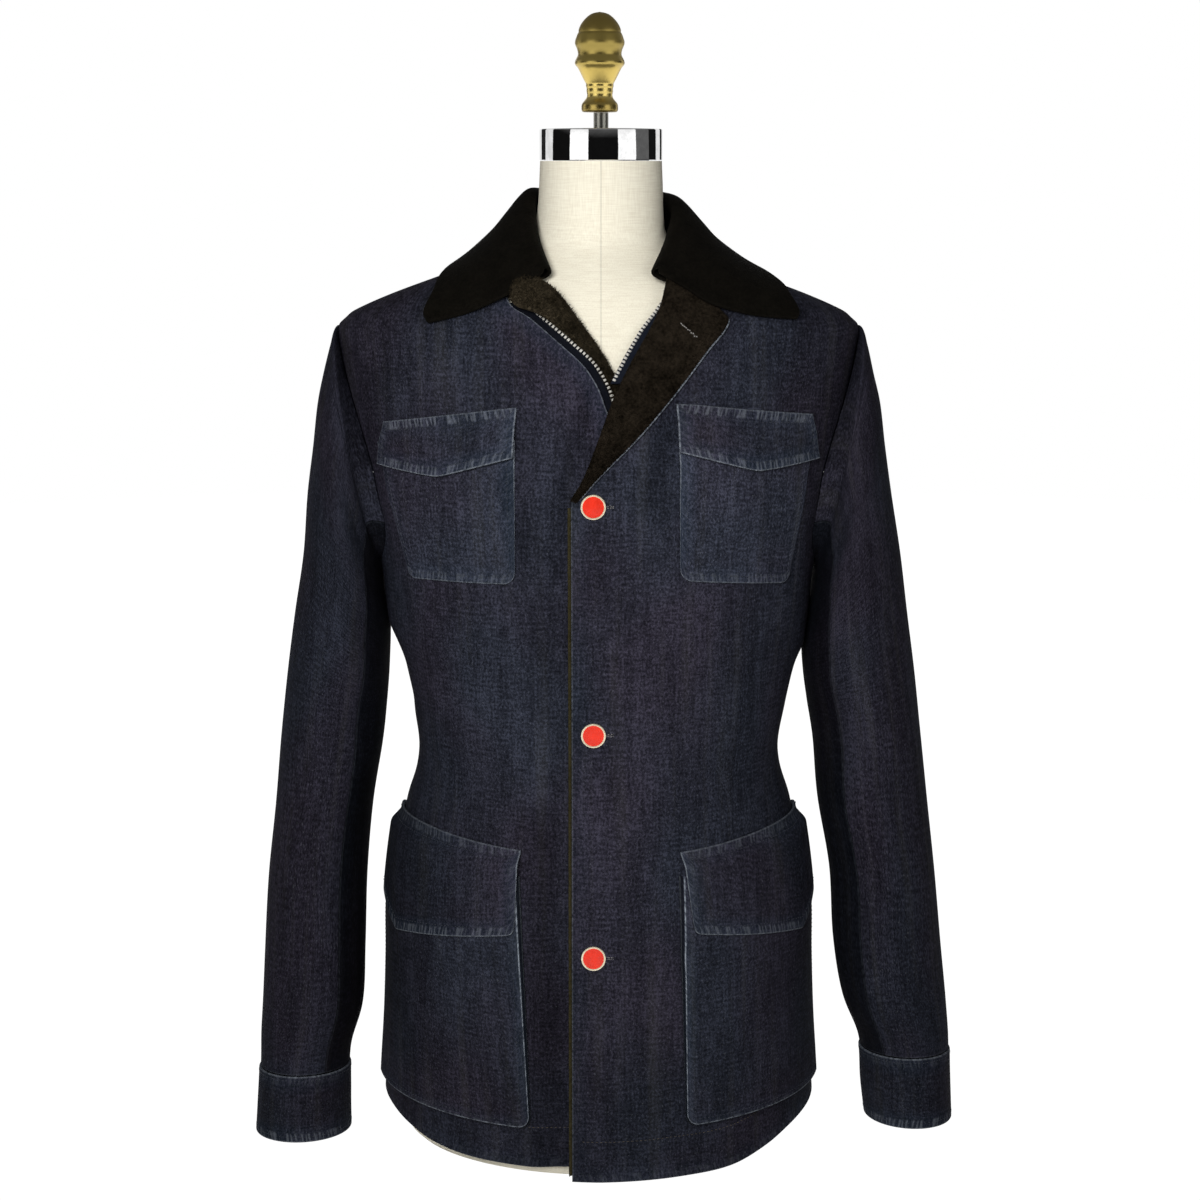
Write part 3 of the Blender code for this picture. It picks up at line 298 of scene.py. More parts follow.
# %% Girths by tape
TAPE_TOP, DEGREES = 0.76, 151
TAPE_HEIGHTS = np.linspace(0, TAPE_TOP, 153)
TAPE_TURNS = np.radians(np.arange(0.0, DEGREES))
WAIST_ROW = 66
tape_rings = on_ring(*np.meshgrid(TAPE_TURNS, TAPE_HEIGHTS))
tape_runs = np.cumsum(np.linalg.norm(np.diff(tape_rings, axis=1), axis=-1), 1)
TAPE = np.concatenate([np.zeros((len(TAPE_HEIGHTS), 1)), tape_runs], 1)


def tape_row(z):
    """The row of the girths below a height, and the share of the way to the next row."""
    place = np.clip(z / TAPE_TOP * (len(TAPE_HEIGHTS) - 1), 0, len(TAPE_HEIGHTS) - 1.001)
    return place.astype(int), place - place.astype(int)


def turn_at_girth(girth, z):
    """The turn reached by a tape laid round the ring from the front middle."""
    low, share = tape_row(z)
    length = mix(TAPE[low], TAPE[low + 1], share[..., None])
    k = np.clip((length <= girth[..., None]).sum(-1) - 1, 0, len(TAPE_TURNS) - 2)
    near = np.take_along_axis(length, k[..., None], -1)[..., 0]
    far = np.take_along_axis(length, k[..., None] + 1, -1)[..., 0]
    return TAPE_TURNS[k] + (TAPE_TURNS[1] - TAPE_TURNS[0]) * (girth - near) / (far - near)


def girth_at(points, from_back=False):
    """How far round a tape reaches to points of the body, from the front or the back middle."""
    half, front, mid, back = read(RINGS, points[..., 2])
    ahead = mid - points[..., 1]
    reach = np.where(ahead > 0, mid + front, back - mid)
    turn = np.arctan2(points[..., 0] / half, ahead / reach)
    low, share = tape_row(points[..., 2])
    degrees = np.clip(np.degrees(np.abs(turn)), 0, len(TAPE_TURNS) - 1.001)
    k, part = degrees.astype(int), degrees - degrees.astype(int)
    near = mix(TAPE[low, k], TAPE[low, k + 1], part)
    far = mix(TAPE[low + 1, k], TAPE[low + 1, k + 1], part)
    girth = mix(near, far, share) + np.maximum(np.abs(turn) - TAPE_TURNS[-1], 0) * half
    if from_back:
        whole = mix(TAPE[low, -1], TAPE[low + 1, -1], share) + (math.pi - TAPE_TURNS[-1]) * half
        girth = whole - girth
    return np.sign(turn) * girth


print("girth of half the waist", round(float(TAPE[WAIST_ROW, -1]), 3))

# %% [markdown]
# Every piece ends the same way, so one function does it: the mesh gets its material and an object
# at the origin, and the object is tied to the frame, with the solid that it stands for.


# %% Tying a piece to the frame
def tie(name, mesh, material, node):
    """Makes an object of a mesh, which rides on the root and replaces a solid."""
    mesh.materials.append(material)
    piece = bpy.data.objects.new(name, mesh)
    bpy.context.collection.objects.link(piece)
    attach(piece, "root")
    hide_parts(node)
    return piece


def new_mesh(name, points, faces, turn_out=False):
    """A mesh of points and faces, with its faces turned outwards where that is asked for."""
    mesh = bpy.data.meshes.new(name)
    mesh.from_pydata(np.asarray(points).tolist(), [], faces)
    if turn_out:
        made = bmesh.new()
        made.from_mesh(mesh)
        bmesh.ops.recalc_face_normals(made, faces=made.faces)
        made.to_mesh(mesh)
        made.free()
    return mesh


# %% [markdown]
# A piece of cloth is a grid of points twice over, once for its outside and once for its inside.
# The two meet at the border, and just before it they curve towards each other, which gives the
# rounded fold that a turned and sewn edge has. Each piece also carries three things for its
# material: a map of the flat cloth in metres, a map of the distance to its worn edges, and how
# worn the nearest edge is.

# %% Measures of a cloth grid
EDGE_STEPS = (0.0004, 0.0010, 0.0020, 0.0036)
NOT_NEAR, NO_EDGE = 9.0, 1.0


def shares(length, count):
    """Places of the grid's lines from 0 to 1: close together at both ends, even between."""
    ends = np.array((0.0,) + EDGE_STEPS) / length
    middle = np.linspace(ends[-1], 1 - ends[-1], max(count - 2 * len(EDGE_STEPS), 3))[1:-1]
    return np.concatenate([ends, middle, 1 - ends[::-1]])


def grow(points, axis):
    """The length along the grid's lines, added up from their start."""
    step = np.linalg.norm(np.diff(points, axis=axis), axis=-1)
    start = np.zeros_like(step[:, :1] if axis == 1 else step[:1])
    return np.concatenate([start, np.cumsum(step, axis)], axis)


def fold_in(border, thick):
    """How far each side of the cloth curves in near its border, to a round fold."""
    inside = np.clip(1 - border / (thick / 2), 0, 1)
    return thick / 2 * (1 - np.sqrt(np.clip(1 - inside**2, 0, 1)))


def corners(grid):
    cells = [grid[:-1, :-1], grid[:-1, 1:], grid[1:, 1:], grid[1:, :-1]]
    return np.stack(cells, -1).reshape(-1, 4)


def shell_faces(rows, columns, tube):
    """Faces of the outside and the inside, and the grid point that each corner came from."""
    ids = np.arange(rows * columns).reshape(rows, columns)
    inner, outer = ids + rows * columns, ids.copy()
    inner[0], inner[-1] = ids[0], ids[-1]
    if tube:
        outer[:, -1], inner[:, -1] = ids[:, 0], inner[:, 0]
    else:
        inner[:, 0], inner[:, -1] = ids[:, 0], ids[:, -1]
    faces = np.concatenate([corners(outer), corners(inner)[:, ::-1]])
    source = np.concatenate([corners(ids), corners(ids)[:, ::-1]])
    return faces, source


def points_inwards(points, faces):
    """True where a closed shell's volume comes out negative."""
    a, b, c, d = (points[faces[:, k]] for k in range(4))
    volume = np.einsum("ij,ij->i", a, np.cross(b, c)) + np.einsum("ij,ij->i", a, np.cross(c, d))
    return volume.sum() < 0


print("a fold of", CLOTH * 1000, "mm cloth begins", EDGE_STEPS[2] * 1000, "mm from its border")

# %% [markdown]
# The cut of a piece is measured on the same grid: its width and length along the cloth, and its
# area. The wear of an edge is written on the mesh, so one denim serves every piece: worn and roped
# say how strongly the fold and the bars beside it are rubbed pale, in the order low, right, high,
# left.

# %% A cloth piece
# each piece's weave starts at one of so many places, this far apart in metres
WEAVE_STARTS, WEAVE_SHIFT = 17, 0.31


def flat_map(grain, u, v, base, across, up):
    """Places on the flat cloth: by tape on the body, along the threads, or as cut."""
    if grain in ("body", "back"):
        return np.stack([girth_at(base, grain == "back").ravel(), base[..., 2].ravel()], -1)
    if grain == "straight":
        width, length = across[:, -1].mean(), up[-1].mean()
        return np.stack([(u * width).ravel(), (v * length).ravel()], -1)
    return np.stack([across.ravel(), up.ravel()], -1)


def write_maps(mesh, source, maps, values, ridge):
    for layer, flat in maps.items():
        mesh.uv_layers.new(name=layer).data.foreach_set("uv", flat[source.ravel()].ravel())
    for key, value in values.items():
        attribute = mesh.attributes.new(key, "FLOAT", "CORNER")
        attribute.data.foreach_set("value", value.ravel()[source.ravel()])
    heights = [ridge] * len(mesh.vertices)
    mesh.attributes.new("ridge", "FLOAT", "POINT").data.foreach_set("value", heights)


def declare(base, across, up):
    """Measures the size of a sheet, and returns it as text."""
    cells = np.cross(base[1:, 1:] - base[:-1, :-1], base[1:, :-1] - base[:-1, 1:])
    area = np.linalg.norm(cells, axis=-1).sum() / 2
    width, length = float(across[:, -1].max()), float(up[-1].max())
    shown = dict(flat=(width, length), held="draped", rests_on=["dress_form_cover"])
    if area < width * length:
        shown["area"] = float(area)
    return f"{width * 1000:.0f} x {length * 1000:.0f} mm"


def cloth(
    name, us, vs, place, thick, material, slot, worn=(0, 0, 0, 0), roped=(0, 0, 0, 0),
    tube=False, grain="cut", ridge=0.0, shaded=0.0, node=None,
):
    """A shell of cloth, whose points are place(u, v, depth). Given a node, it is only a trim."""
    u, v = np.meshgrid(us, vs)
    base = place(u, v, np.zeros(u.shape))
    across, up = grow(base, 1), grow(base, 0)
    edges = [up, across[:, -1:] - across, up[-1:] - up, across]
    if tube:
        edges[1] = edges[3] = np.full(u.shape, NO_EDGE)
    tuck = fold_in(np.minimum.reduce(edges), thick)
    points = np.concatenate([side.reshape(-1, 3) for side in (place(u, v, tuck), place(u, v, thick - tuck))])
    faces, source = shell_faces(*u.shape, tube)
    used, faces = np.unique(faces, return_inverse=True)
    points, faces = points[used], faces.reshape(-1, 4)
    if points_inwards(points, faces):
        faces, source = faces[:, ::-1], source[:, ::-1]

    reachable = np.array([np.where(w > 0, edge, NOT_NEAR) for w, edge in zip(worn, edges)])
    nearest = reachable.argmin(0)
    distance = np.take_along_axis(reachable, nearest[None], 0)[0]
    run = np.take_along_axis(np.array([across, up, across, up]), nearest[None], 0)[0]
    flat = flat_map(grain, u, v, base, across, up) + sum(map(ord, name)) % WEAVE_STARTS * WEAVE_SHIFT
    maps = {"Cloth": flat, "Edge": np.stack([run.ravel(), distance.ravel()], -1)}
    values = {
        "worn": np.array(worn, float)[nearest],
        "roped": np.array(roped, float)[nearest],
        # painted shade from the bands, plus the piece's own value: painted shade where it is above 0, a
        # lighter tone where it is below 0
        "painted_shade_and_tone": bands(base[..., 0], base[..., 2], base[..., 1] < 0.01) + shaded,
    }
    mesh = new_mesh(name, points, faces.tolist())
    write_maps(mesh, source, maps, values, ridge)
    mesh.shade_smooth()
    piece = tie(name, mesh, material, node or name.replace("cloth_", ""))
    size = "a trim" if node else declare(base, across, up)
    print(f"{name}: {size}, {len(faces) * 2} triangles")


# %% [markdown]
# Materials are built from nodes, and the same few are wanted again and again: a noise at a scale,
# a sum, a ramp from one colour to another. Each gets a helper that returns the socket with its
# result, so a finish reads like a recipe. Patterns on cloth follow its flat map, and those on hard
# pieces follow the object itself.


# %% Helpers for materials
def new_material(name):
    made = bpy.data.materials.new(name)
    made.use_nodes = True
    return made, made.node_tree, made.node_tree.nodes["Principled BSDF"]


def add(tree, kind, **settings):
    node = tree.nodes.new(kind)
    for key, value in settings.items():
        setattr(node, key, value)
    return node


def feed(tree, socket, value):
    """Gives a socket a number, a colour, a vector, or another node's result."""
    if isinstance(value, (int, float)):
        socket.default_value = value
    elif isinstance(value, tuple):
        socket.default_value = (*value, 1) if socket.type == "RGBA" else value
    else:
        tree.links.new(value, socket)


def object_place(tree):
    return add(tree, "ShaderNodeTexCoord").outputs["Object"]


def noise(tree, vector, scale, detail=2.0, rough=0.5):
    """A noise stretched by its scale along X, Y and Z."""
    stretch = add(tree, "ShaderNodeMapping")
    feed(tree, stretch.inputs["Scale"], scale)
    feed(tree, stretch.inputs["Vector"], vector)
    node = add(tree, "ShaderNodeTexNoise")
    feed(tree, node.inputs["Scale"], 1.0)
    feed(tree, node.inputs["Detail"], detail)
    feed(tree, node.inputs["Roughness"], rough)
    feed(tree, node.inputs["Vector"], stretch.outputs["Vector"])
    return node.outputs["Fac"]


def calc(tree, operation, *values, clamp=False):
    node = add(tree, "ShaderNodeMath", operation=operation, use_clamp=clamp)
    for socket, value in zip(node.inputs, values):
        feed(tree, socket, value)
    return node.outputs[0]


def weighted(tree, parts):
    """The sum of values, each times its weight."""
    total = 0.0
    for value, weight in parts:
        total = calc(tree, "MULTIPLY_ADD", value, weight, total)
    return total


def ramp(tree, factor, stops, kind="LINEAR"):
    """Colours read along a factor; a plain number is a grey."""
    node = add(tree, "ShaderNodeValToRGB")
    node.color_ramp.interpolation = kind
    while len(node.color_ramp.elements) < len(stops):
        node.color_ramp.elements.new(0.5)
    for element, (place, colour) in zip(node.color_ramp.elements, stops):
        element.position = place
        element.color = (*(colour if isinstance(colour, tuple) else grey(colour)), 1)
    feed(tree, node.inputs["Fac"], factor)
    return node.outputs["Color"]


def blend_colour(tree, kind, factor, a, b):
    node = add(tree, "ShaderNodeMix", data_type="RGBA", blend_type=kind)
    for socket, value in zip((node.inputs[0], node.inputs[6], node.inputs[7]), (factor, a, b)):
        feed(tree, socket, value)
    return node.outputs[2]


def finish_shader(tree, shader, sockets, height, strength, distance):
    """Sets a shader's sockets by name, and the bump of its surface."""
    for name, value in sockets.items():
        feed(tree, shader.inputs[name], value)
    bump = add(tree, "ShaderNodeBump")
    feed(tree, bump.inputs["Strength"], strength)
    feed(tree, bump.inputs["Distance"], distance)
    feed(tree, bump.inputs["Height"], height)
    feed(tree, shader.inputs["Normal"], bump.outputs[0])


def grey(value):
    return (value, value, value)


print("helpers ready; a mid grey is", grey(0.5))

# %% [markdown]
# Denim is a twill: dark blue warp threads run up the cloth over white weft threads that hardly
# show. From a step away it reads as near-black blue with fine upright streaks and pale flecks.
# A picture of denim would repeat and blur, so the threads are made from noises of thread size,
# stretched along the cloth's own map. A painted pool of light makes the middle of the chest brighter
# and the sleeves, sides and hem darker.

# %% Denim: the threads
DENIM_TEAL, DENIM_VIOLET = (0.0392, 0.0440, 0.0640), (0.0452, 0.0410, 0.0612)
PALE_SPECK, PALE_HAZE = (0.028, 0.030, 0.033), (0.0075, 0.0072, 0.0060)
# the painted pool of light on the chest: the height of its middle, then its width, depth and height
CHEST_HEIGHT, LIGHT_POOL_WIDTH, LIGHT_POOL_DEPTH, LIGHT_POOL_HEIGHT = 0.50, 0.23, 0.6, 0.50


def thread_noise(tree, flat):
    """Flecks, slubs that run up and across, streaks, and broad uneven fading."""
    return weighted(tree, [
        (noise(tree, flat, (600, 440, 1), 1.0, 0.6), 0.38),
        (noise(tree, flat, (430, 60, 1), 1.0), 0.17),
        (noise(tree, flat, (70, 430, 1), 1.0), 0.17),
        (noise(tree, flat, (120, 9, 1), 2.0), 0.13),
        (noise(tree, flat, (24, 12, 1), 2.0), 0.15),
    ])


def painted_chest_light(tree):
    """Painted light: how bright the cloth is with its distance from the middle of the chest, as if lit there.
    """
    middle = add(tree, "ShaderNodeMapping")
    feed(tree, middle.inputs["Location"], (0, 0, -CHEST_HEIGHT / LIGHT_POOL_HEIGHT))
    feed(tree, middle.inputs["Scale"], (1 / LIGHT_POOL_WIDTH, LIGHT_POOL_DEPTH, 1 / LIGHT_POOL_HEIGHT))
    feed(tree, middle.inputs["Vector"], object_place(tree))
    reach = add(tree, "ShaderNodeVectorMath", operation="LENGTH")
    feed(tree, reach.inputs[0], middle.outputs["Vector"])
    half_reach = calc(tree, "MULTIPLY", reach.outputs["Value"], 0.5)
    return ramp(tree, half_reach, [(0.15, 1.0), (0.32, 0.88), (0.48, 0.66), (0.62, 0.58), (0.80, 0.50)])


def denim_threads(tree, flat, threads, painted_shade_and_tone):
    tint = noise(tree, flat, (9, 6, 1), 1.0)
    colour = ramp(tree, tint, [(0.38, DENIM_TEAL), (0.62, DENIM_VIOLET)])
    shade = ramp(tree, threads, [(0.40, 0.20), (0.50, 0.47), (0.60, 1.02)])
    colour = blend_colour(tree, "MULTIPLY", 1.0, colour, shade)
    # painted light: the middle of the chest is brightest, and the sleeves, sides and hem are darker
    colour = blend_colour(tree, "MULTIPLY", 1.0, colour, painted_chest_light(tree))
    specks = noise(tree, flat, (540, 430, 1), 1.0, 0.7)
    colour = blend_colour(tree, "ADD", 1.0, colour, ramp(tree, specks, [(0.62, 0.0), (0.78, PALE_SPECK)]))
    haze = noise(tree, flat, (75, 4, 1), 2.0)
    colour = blend_colour(tree, "ADD", 1.0, colour, ramp(tree, haze, [(0.54, 0.0), (0.74, PALE_HAZE)]))
    # painted shade: the colour is multiplied by one less the painted shade, so a negative value lightens it
    return blend_colour(tree, "MULTIPLY", 1.0, colour, calc(tree, "SUBTRACT", 1.0, painted_shade_and_tone))


print("denim runs from", DENIM_TEAL, "to", DENIM_VIOLET)

# %% [markdown]
# Where denim is folded over a seam it rubs pale: a hair line on the fold, and short slanting bars
# beside it, where the layers inside make ropes. A bellows pocket is rubbed on the ridge at the top
# of its wall, and the wall itself is darkened to three tenths. The Edge map of each piece gives the
# place along the edge and the distance from it, so these marks bend with the edge.

# %% Denim: the worn edges
FOLD_LINE, RIDGE_LINE, ROPE_BAR = (0.19, 0.21, 0.24), (0.27, 0.30, 0.34), (0.056, 0.061, 0.069)
FADED_BAND = (0.0015, 0.0060, 0.0105)
WITHIN_2_MM, WITHIN_10_MM, WITHIN_17_MM = 500.0, 100.0, 60.0


def beside(tree, distance, per_metre, stops):
    """A strength that is read with the distance from an edge."""
    return ramp(tree, calc(tree, "MULTIPLY", distance, per_metre), stops)


def rope_bars(tree, along, distance, roped):
    lean = add(tree, "ShaderNodeCombineXYZ")
    feed(tree, lean.inputs[0], calc(tree, "MULTIPLY_ADD", distance, 0.25, along))
    feed(tree, lean.inputs[1], distance)
    bars = ramp(tree, noise(tree, lean.outputs[0], (330, 50, 1), 1.0), [(0.46, 0.0), (0.62, 1.0)])
    band = beside(tree, distance, WITHIN_10_MM, [(0.0, 0.5), (0.12, 1.0), (0.66, 1.0), (0.84, 0.0)])
    return calc(tree, "MULTIPLY", calc(tree, "MULTIPLY", bars, band), roped, clamp=True)


def worn_edges(tree, colour, along, distance, bars, worn, ridge):
    edge_map = add(tree, "ShaderNodeUVMap", uv_map="Edge").outputs["UV"]
    uneven = ramp(tree, noise(tree, edge_map, (260, 60, 1), 2.0), [(0.36, 0.15), (0.60, 1.0)])
    wide = beside(tree, distance, WITHIN_17_MM, [(0.0, 1.0), (0.55, 0.6), (1.0, 0.0)])
    wide = calc(tree, "MULTIPLY", wide, worn, clamp=True)
    line = beside(tree, distance, WITHIN_2_MM, [(0.0, 1.0), (0.40, 0.9), (0.75, 0.0)])
    line = calc(tree, "MULTIPLY", calc(tree, "MULTIPLY", line, uneven), worn, clamp=True)
    colour = blend_colour(tree, "ADD", wide, colour, FADED_BAND)
    colour = blend_colour(tree, "ADD", bars, colour, ROPE_BAR)
    colour = blend_colour(tree, "MIX", line, colour, FOLD_LINE)

    off_ridge = calc(tree, "ABSOLUTE", calc(tree, "SUBTRACT", distance, ridge))
    crest = beside(tree, off_ridge, WITHIN_2_MM, [(0.10, 1.0), (0.40, 0.0)])
    crest = calc(tree, "MULTIPLY", crest, calc(tree, "GREATER_THAN", ridge, 0.0001))
    crest = calc(tree, "MULTIPLY", calc(tree, "MULTIPLY", crest, uneven), worn, clamp=True)
    wall = calc(tree, "LESS_THAN", distance, calc(tree, "MULTIPLY", ridge, 0.80))
    colour = blend_colour(tree, "MULTIPLY", wall, colour, grey(0.30))
    return blend_colour(tree, "MIX", crest, colour, RIDGE_LINE)


def make_denim():
    made, tree, shader = new_material("denim")
    flat = add(tree, "ShaderNodeUVMap", uv_map="Cloth").outputs["UV"]
    edge = add(tree, "ShaderNodeSeparateXYZ")
    feed(tree, edge.inputs[0], add(tree, "ShaderNodeUVMap", uv_map="Edge").outputs["UV"])
    along, distance = edge.outputs["X"], edge.outputs["Y"]
    worn, roped, ridge, painted_shade_and_tone = (
        add(tree, "ShaderNodeAttribute", attribute_name=key).outputs["Fac"]
        for key in ("worn", "roped", "ridge", "painted_shade_and_tone")
    )
    threads = thread_noise(tree, flat)
    bars = rope_bars(tree, along, distance, roped)
    colour = denim_threads(tree, flat, threads, painted_shade_and_tone)
    colour = worn_edges(tree, colour, along, distance, bars, worn, ridge)

    twill = add(tree, "ShaderNodeTexWave", wave_type="BANDS", bands_direction="DIAGONAL")
    stretch = add(tree, "ShaderNodeMapping")
    feed(tree, stretch.inputs["Scale"], (330, 210, 1))
    feed(tree, stretch.inputs["Vector"], flat)
    for name, value in (("Scale", 1.0), ("Distortion", 1.5), ("Detail", 1.0)):
        feed(tree, twill.inputs[name], value)
    feed(tree, twill.inputs["Vector"], stretch.outputs["Vector"])
    height = calc(tree, "ADD", calc(tree, "MULTIPLY", twill.outputs["Fac"], 0.5), threads)
    height = calc(tree, "ADD", height, calc(tree, "MULTIPLY", bars, 1.2))
    looks = {"Base Color": colour, "Roughness": 0.95, "Specular IOR Level": 0.06}
    finish_shader(tree, shader, looks, height, 0.35, 0.0006)
    return made


denim = make_denim()
print("denim has", len(denim.node_tree.nodes), "nodes")

# %% [markdown]
# The collar is faced with a short, dense black pile, which drinks light and only glows a little
# where it turns away. The facings are a sheared brown pile: darker at the root, softer at the edge.
# All of them mix a noise of patches with a noise of single hairs. Too small a difference between
# dark and light would look like card, so the light tone is several times the dark one.


# %% Pile and tape
def make_pile(name, dark, light, sheen=0.02, scale=(420, 420, 420)):
    made, tree, shader = new_material(name)
    place = object_place(tree)
    patch = calc(tree, "MULTIPLY", noise(tree, place, (70, 70, 70), 3.0, 0.65), 0.5)
    hairs = noise(tree, place, scale, 2.0, 0.6)
    both = calc(tree, "ADD", patch, calc(tree, "MULTIPLY", hairs, 0.5))
    looks = {
        "Base Color": ramp(tree, both, [(0.36, dark), (0.64, light)]),
        "Roughness": 0.95,
        "Specular IOR Level": 0.08,
        "Sheen Weight": sheen,
        "Sheen Roughness": 0.35,
        "Sheen Tint": light,
    }
    finish_shader(tree, shader, looks, hairs, 0.5, 0.0012)
    return made


TAPE_WEAVE = (1500, 300, 1500)
velvet = make_pile("velvet", (0.0022, 0.0019, 0.0014), (0.0054, 0.0046, 0.0034))
sheared = make_pile("sheared_pile", (0.0036, 0.0027, 0.0017), (0.0200, 0.0152, 0.0104))
sheared_light = make_pile("sheared_pile_light", (0.0125, 0.0098, 0.0058), (0.0580, 0.0460, 0.0290))
# painted light: the edge strip's pile is a lighter, more olive copy of the facings' shearling; the olive is
# its own tone, and the lightness stands for light on its rolled rim
lit_edge_pile = make_pile("lit_edge_pile", (0.0190, 0.0160, 0.0070), (0.0400, 0.0340, 0.0170))
tape_cloth = make_pile("tape", (0.0040, 0.0045, 0.0070), (0.0075, 0.0085, 0.0120), 0.0, TAPE_WEAVE)
tape_blue = make_pile("tape_blue", (0.0080, 0.0098, 0.0160), (0.0130, 0.0155, 0.0235), 0.0, TAPE_WEAVE)
print("piles and tapes:", len([velvet, sheared, sheared_light, lit_edge_pile, tape_cloth, tape_blue]))

# %% [markdown]
# The dress form wears a cream linen cover. Linen's threads swell and thin along their length, so
# two stretched noises cross each other, one for each direction. The cover's seam up the middle of
# the front is a thin darker line, read from the place across the form.

# %% Linen
NECK_X, NECK_Y = 0.0020, 0.006


def make_linen():
    made, tree, shader = new_material("linen")
    place = object_place(tree)
    warp, weft = noise(tree, place, (1300, 1300, 60), 1.0), noise(tree, place, (70, 70, 1300), 1.0)
    weave = calc(tree, "MULTIPLY", calc(tree, "ADD", warp, weft), 0.5)
    colour = ramp(tree, weave, [(0.35, (0.80, 0.740, 0.595)), (0.65, (0.92, 0.875, 0.725))])
    shade = ramp(tree, noise(tree, place, (9, 9, 9), 2.0), [(0.35, 0.95), (0.65, 1.0)])
    colour = blend_colour(tree, "MULTIPLY", 1.0, colour, shade)
    split = add(tree, "ShaderNodeSeparateXYZ")
    feed(tree, split.inputs[0], place)
    from_seam = calc(tree, "ABSOLUTE", calc(tree, "SUBTRACT", split.outputs["X"], NECK_X))
    seam = beside(tree, from_seam, WITHIN_2_MM, [(0.10, 0.80), (0.45, 1.0)])
    colour = blend_colour(tree, "MULTIPLY", 1.0, colour, seam)
    looks = {"Base Color": colour, "Roughness": 0.85, "Specular IOR Level": 0.25}
    finish_shader(tree, shader, looks, weave, 0.25, 0.0004)
    return made


linen = make_linen()
print("linen has", len(linen.node_tree.nodes), "nodes")

# %% [markdown]
# The dress form comes first, because the coat hangs on it. It follows the same rings, a little
# inside the coat, and closes at the arms with flat plates. It is one smooth shell, which could be
# sculpted, but rings worked out from the coat's own keep it clear of the cloth everywhere.

# %% The dress form's shape
PLATE_X = 0.186
ROOMS = dict(shoulder=0.0034, side=0.0080, front=0.0135, back=0.0060, neck=0.0095, waist=0.0150)
NECK_START, NECK_TOP, SHOULDER_END = 0.744, 0.8182, 0.739
# height, half the width, front reach, back reach
FORM_NECK = [
    (0.7390, 0.0800, 0.0640, 0.0800), (0.7440, 0.0665, 0.0590, 0.0720), (0.7510, 0.0590, 0.0540, 0.0610),
    (0.7620, 0.0540, 0.0505, 0.0550), (0.7800, 0.0512, 0.0490, 0.0518), (0.8000, 0.0502, 0.0485, 0.0505),
    (0.8182, 0.0494, 0.0485, 0.0495),
]


def form_place(turn, z):
    top, waist = ease(z, 0.60, 0.70), ease(z, 0.05, 0.30) * (1 - ease(z, 0.38, 0.60))
    flare = 0.010 * (1 - ease(z, 0.0, 0.07))
    side_room = mix(mix(ROOMS["side"], ROOMS["waist"], waist), ROOMS["shoulder"], top) + flare
    front_room = mix(mix(ROOMS["front"], ROOMS["waist"], waist), ROOMS["neck"], top)
    back_room = mix(mix(ROOMS["side"], ROOMS["waist"], waist), ROOMS["back"], top)
    facing = np.cos(turn)
    face_room = np.where(facing > 0, front_room, back_room)
    room = mix(side_room, face_room, ease(np.abs(facing), 0.1, 0.75))
    point = on_body(turn, np.minimum(z, SHOULDER_END), -CLOTH - room, creased=False)
    point[..., 0] = np.clip(point[..., 0], -PLATE_X, PLATE_X)
    half, front, back = read(FORM_NECK, np.clip(z, NECK_START, NECK_TOP))
    reach = np.where(facing > 0, front, back)
    shift = NECK_X * ease(z, 0.74, 0.80)
    neck = np.stack([shift + half * np.sin(turn), NECK_Y - reach * np.cos(turn), z + 0 * turn], -1)
    return np.where((z >= NECK_START - 0.0005)[..., None], neck, point)


print("form's neck", FORM_NECK[-1][1] * 2000, "mm wide at the cap")

# %% [markdown]
# The rings lie closer together on the shoulders, where the shape turns fast. The foot is drawn in
# by 4 mm, so that the lowest edge is rounded, and one flat face closes each end.


# %% The dress form
FOOT_BEVEL, FOOT_RING = 0.004, 0.0045


def make_form():
    trunk, shoulders = np.arange(0.03, 0.64, 0.03), np.arange(0.64, 0.7391, 0.0055)
    neck = np.concatenate([[0.744, 0.748], np.arange(0.752, NECK_TOP, 0.006), [NECK_TOP]])
    heights = np.concatenate([[FOOT_RING], trunk, shoulders, neck])
    turns = np.linspace(0, 2 * math.pi, 97)[:-1]
    rings = form_place(*np.meshgrid(turns, heights))
    foot = rings[0] - np.stack([np.sin(turns), -np.cos(turns), 0 * turns], -1) * FOOT_BEVEL
    foot[:, 2] = 0
    points = np.concatenate([foot[None], rings]).reshape(-1, 3)
    count = len(turns)
    faces = []
    for level in range(len(heights)):
        for k in range(count):
            a, b = level * count + k, level * count + (k + 1) % count
            faces.append((a, b, b + count, a + count))
    faces += [tuple(range(count))[::-1], tuple(range(len(points) - count, len(points)))]
    mesh = new_mesh("dress_form_cover", points, faces)
    mesh.shade_smooth()
    mesh.set_sharp_from_angle(angle=math.radians(40))
    return tie("dress_form_cover", mesh, linen, "form_torso")


dress_form = make_form()
print("dress form", len(dress_form.data.polygons), "faces")

# %% [markdown]
# The fronts and the back are cut so that one border runs up the side seam and round the armhole.
# A grid between that border and the front edge, or the middle of the back, has its lines running
# the way a tailor would chalk them. Grids are chosen over cut-out outlines, because a grid gives
# clean folds, a true flat map and an easy hem.

# %% Borders of the fronts and the back
FRONT_REACH, BACK_REACH = math.radians(27), math.radians(21)
ARMHOLE_RADIUS, SEAM_GAP = 0.13, math.radians(0.06)
LEFT_LAP, RIGHT_LAP = -0.0215, -0.018


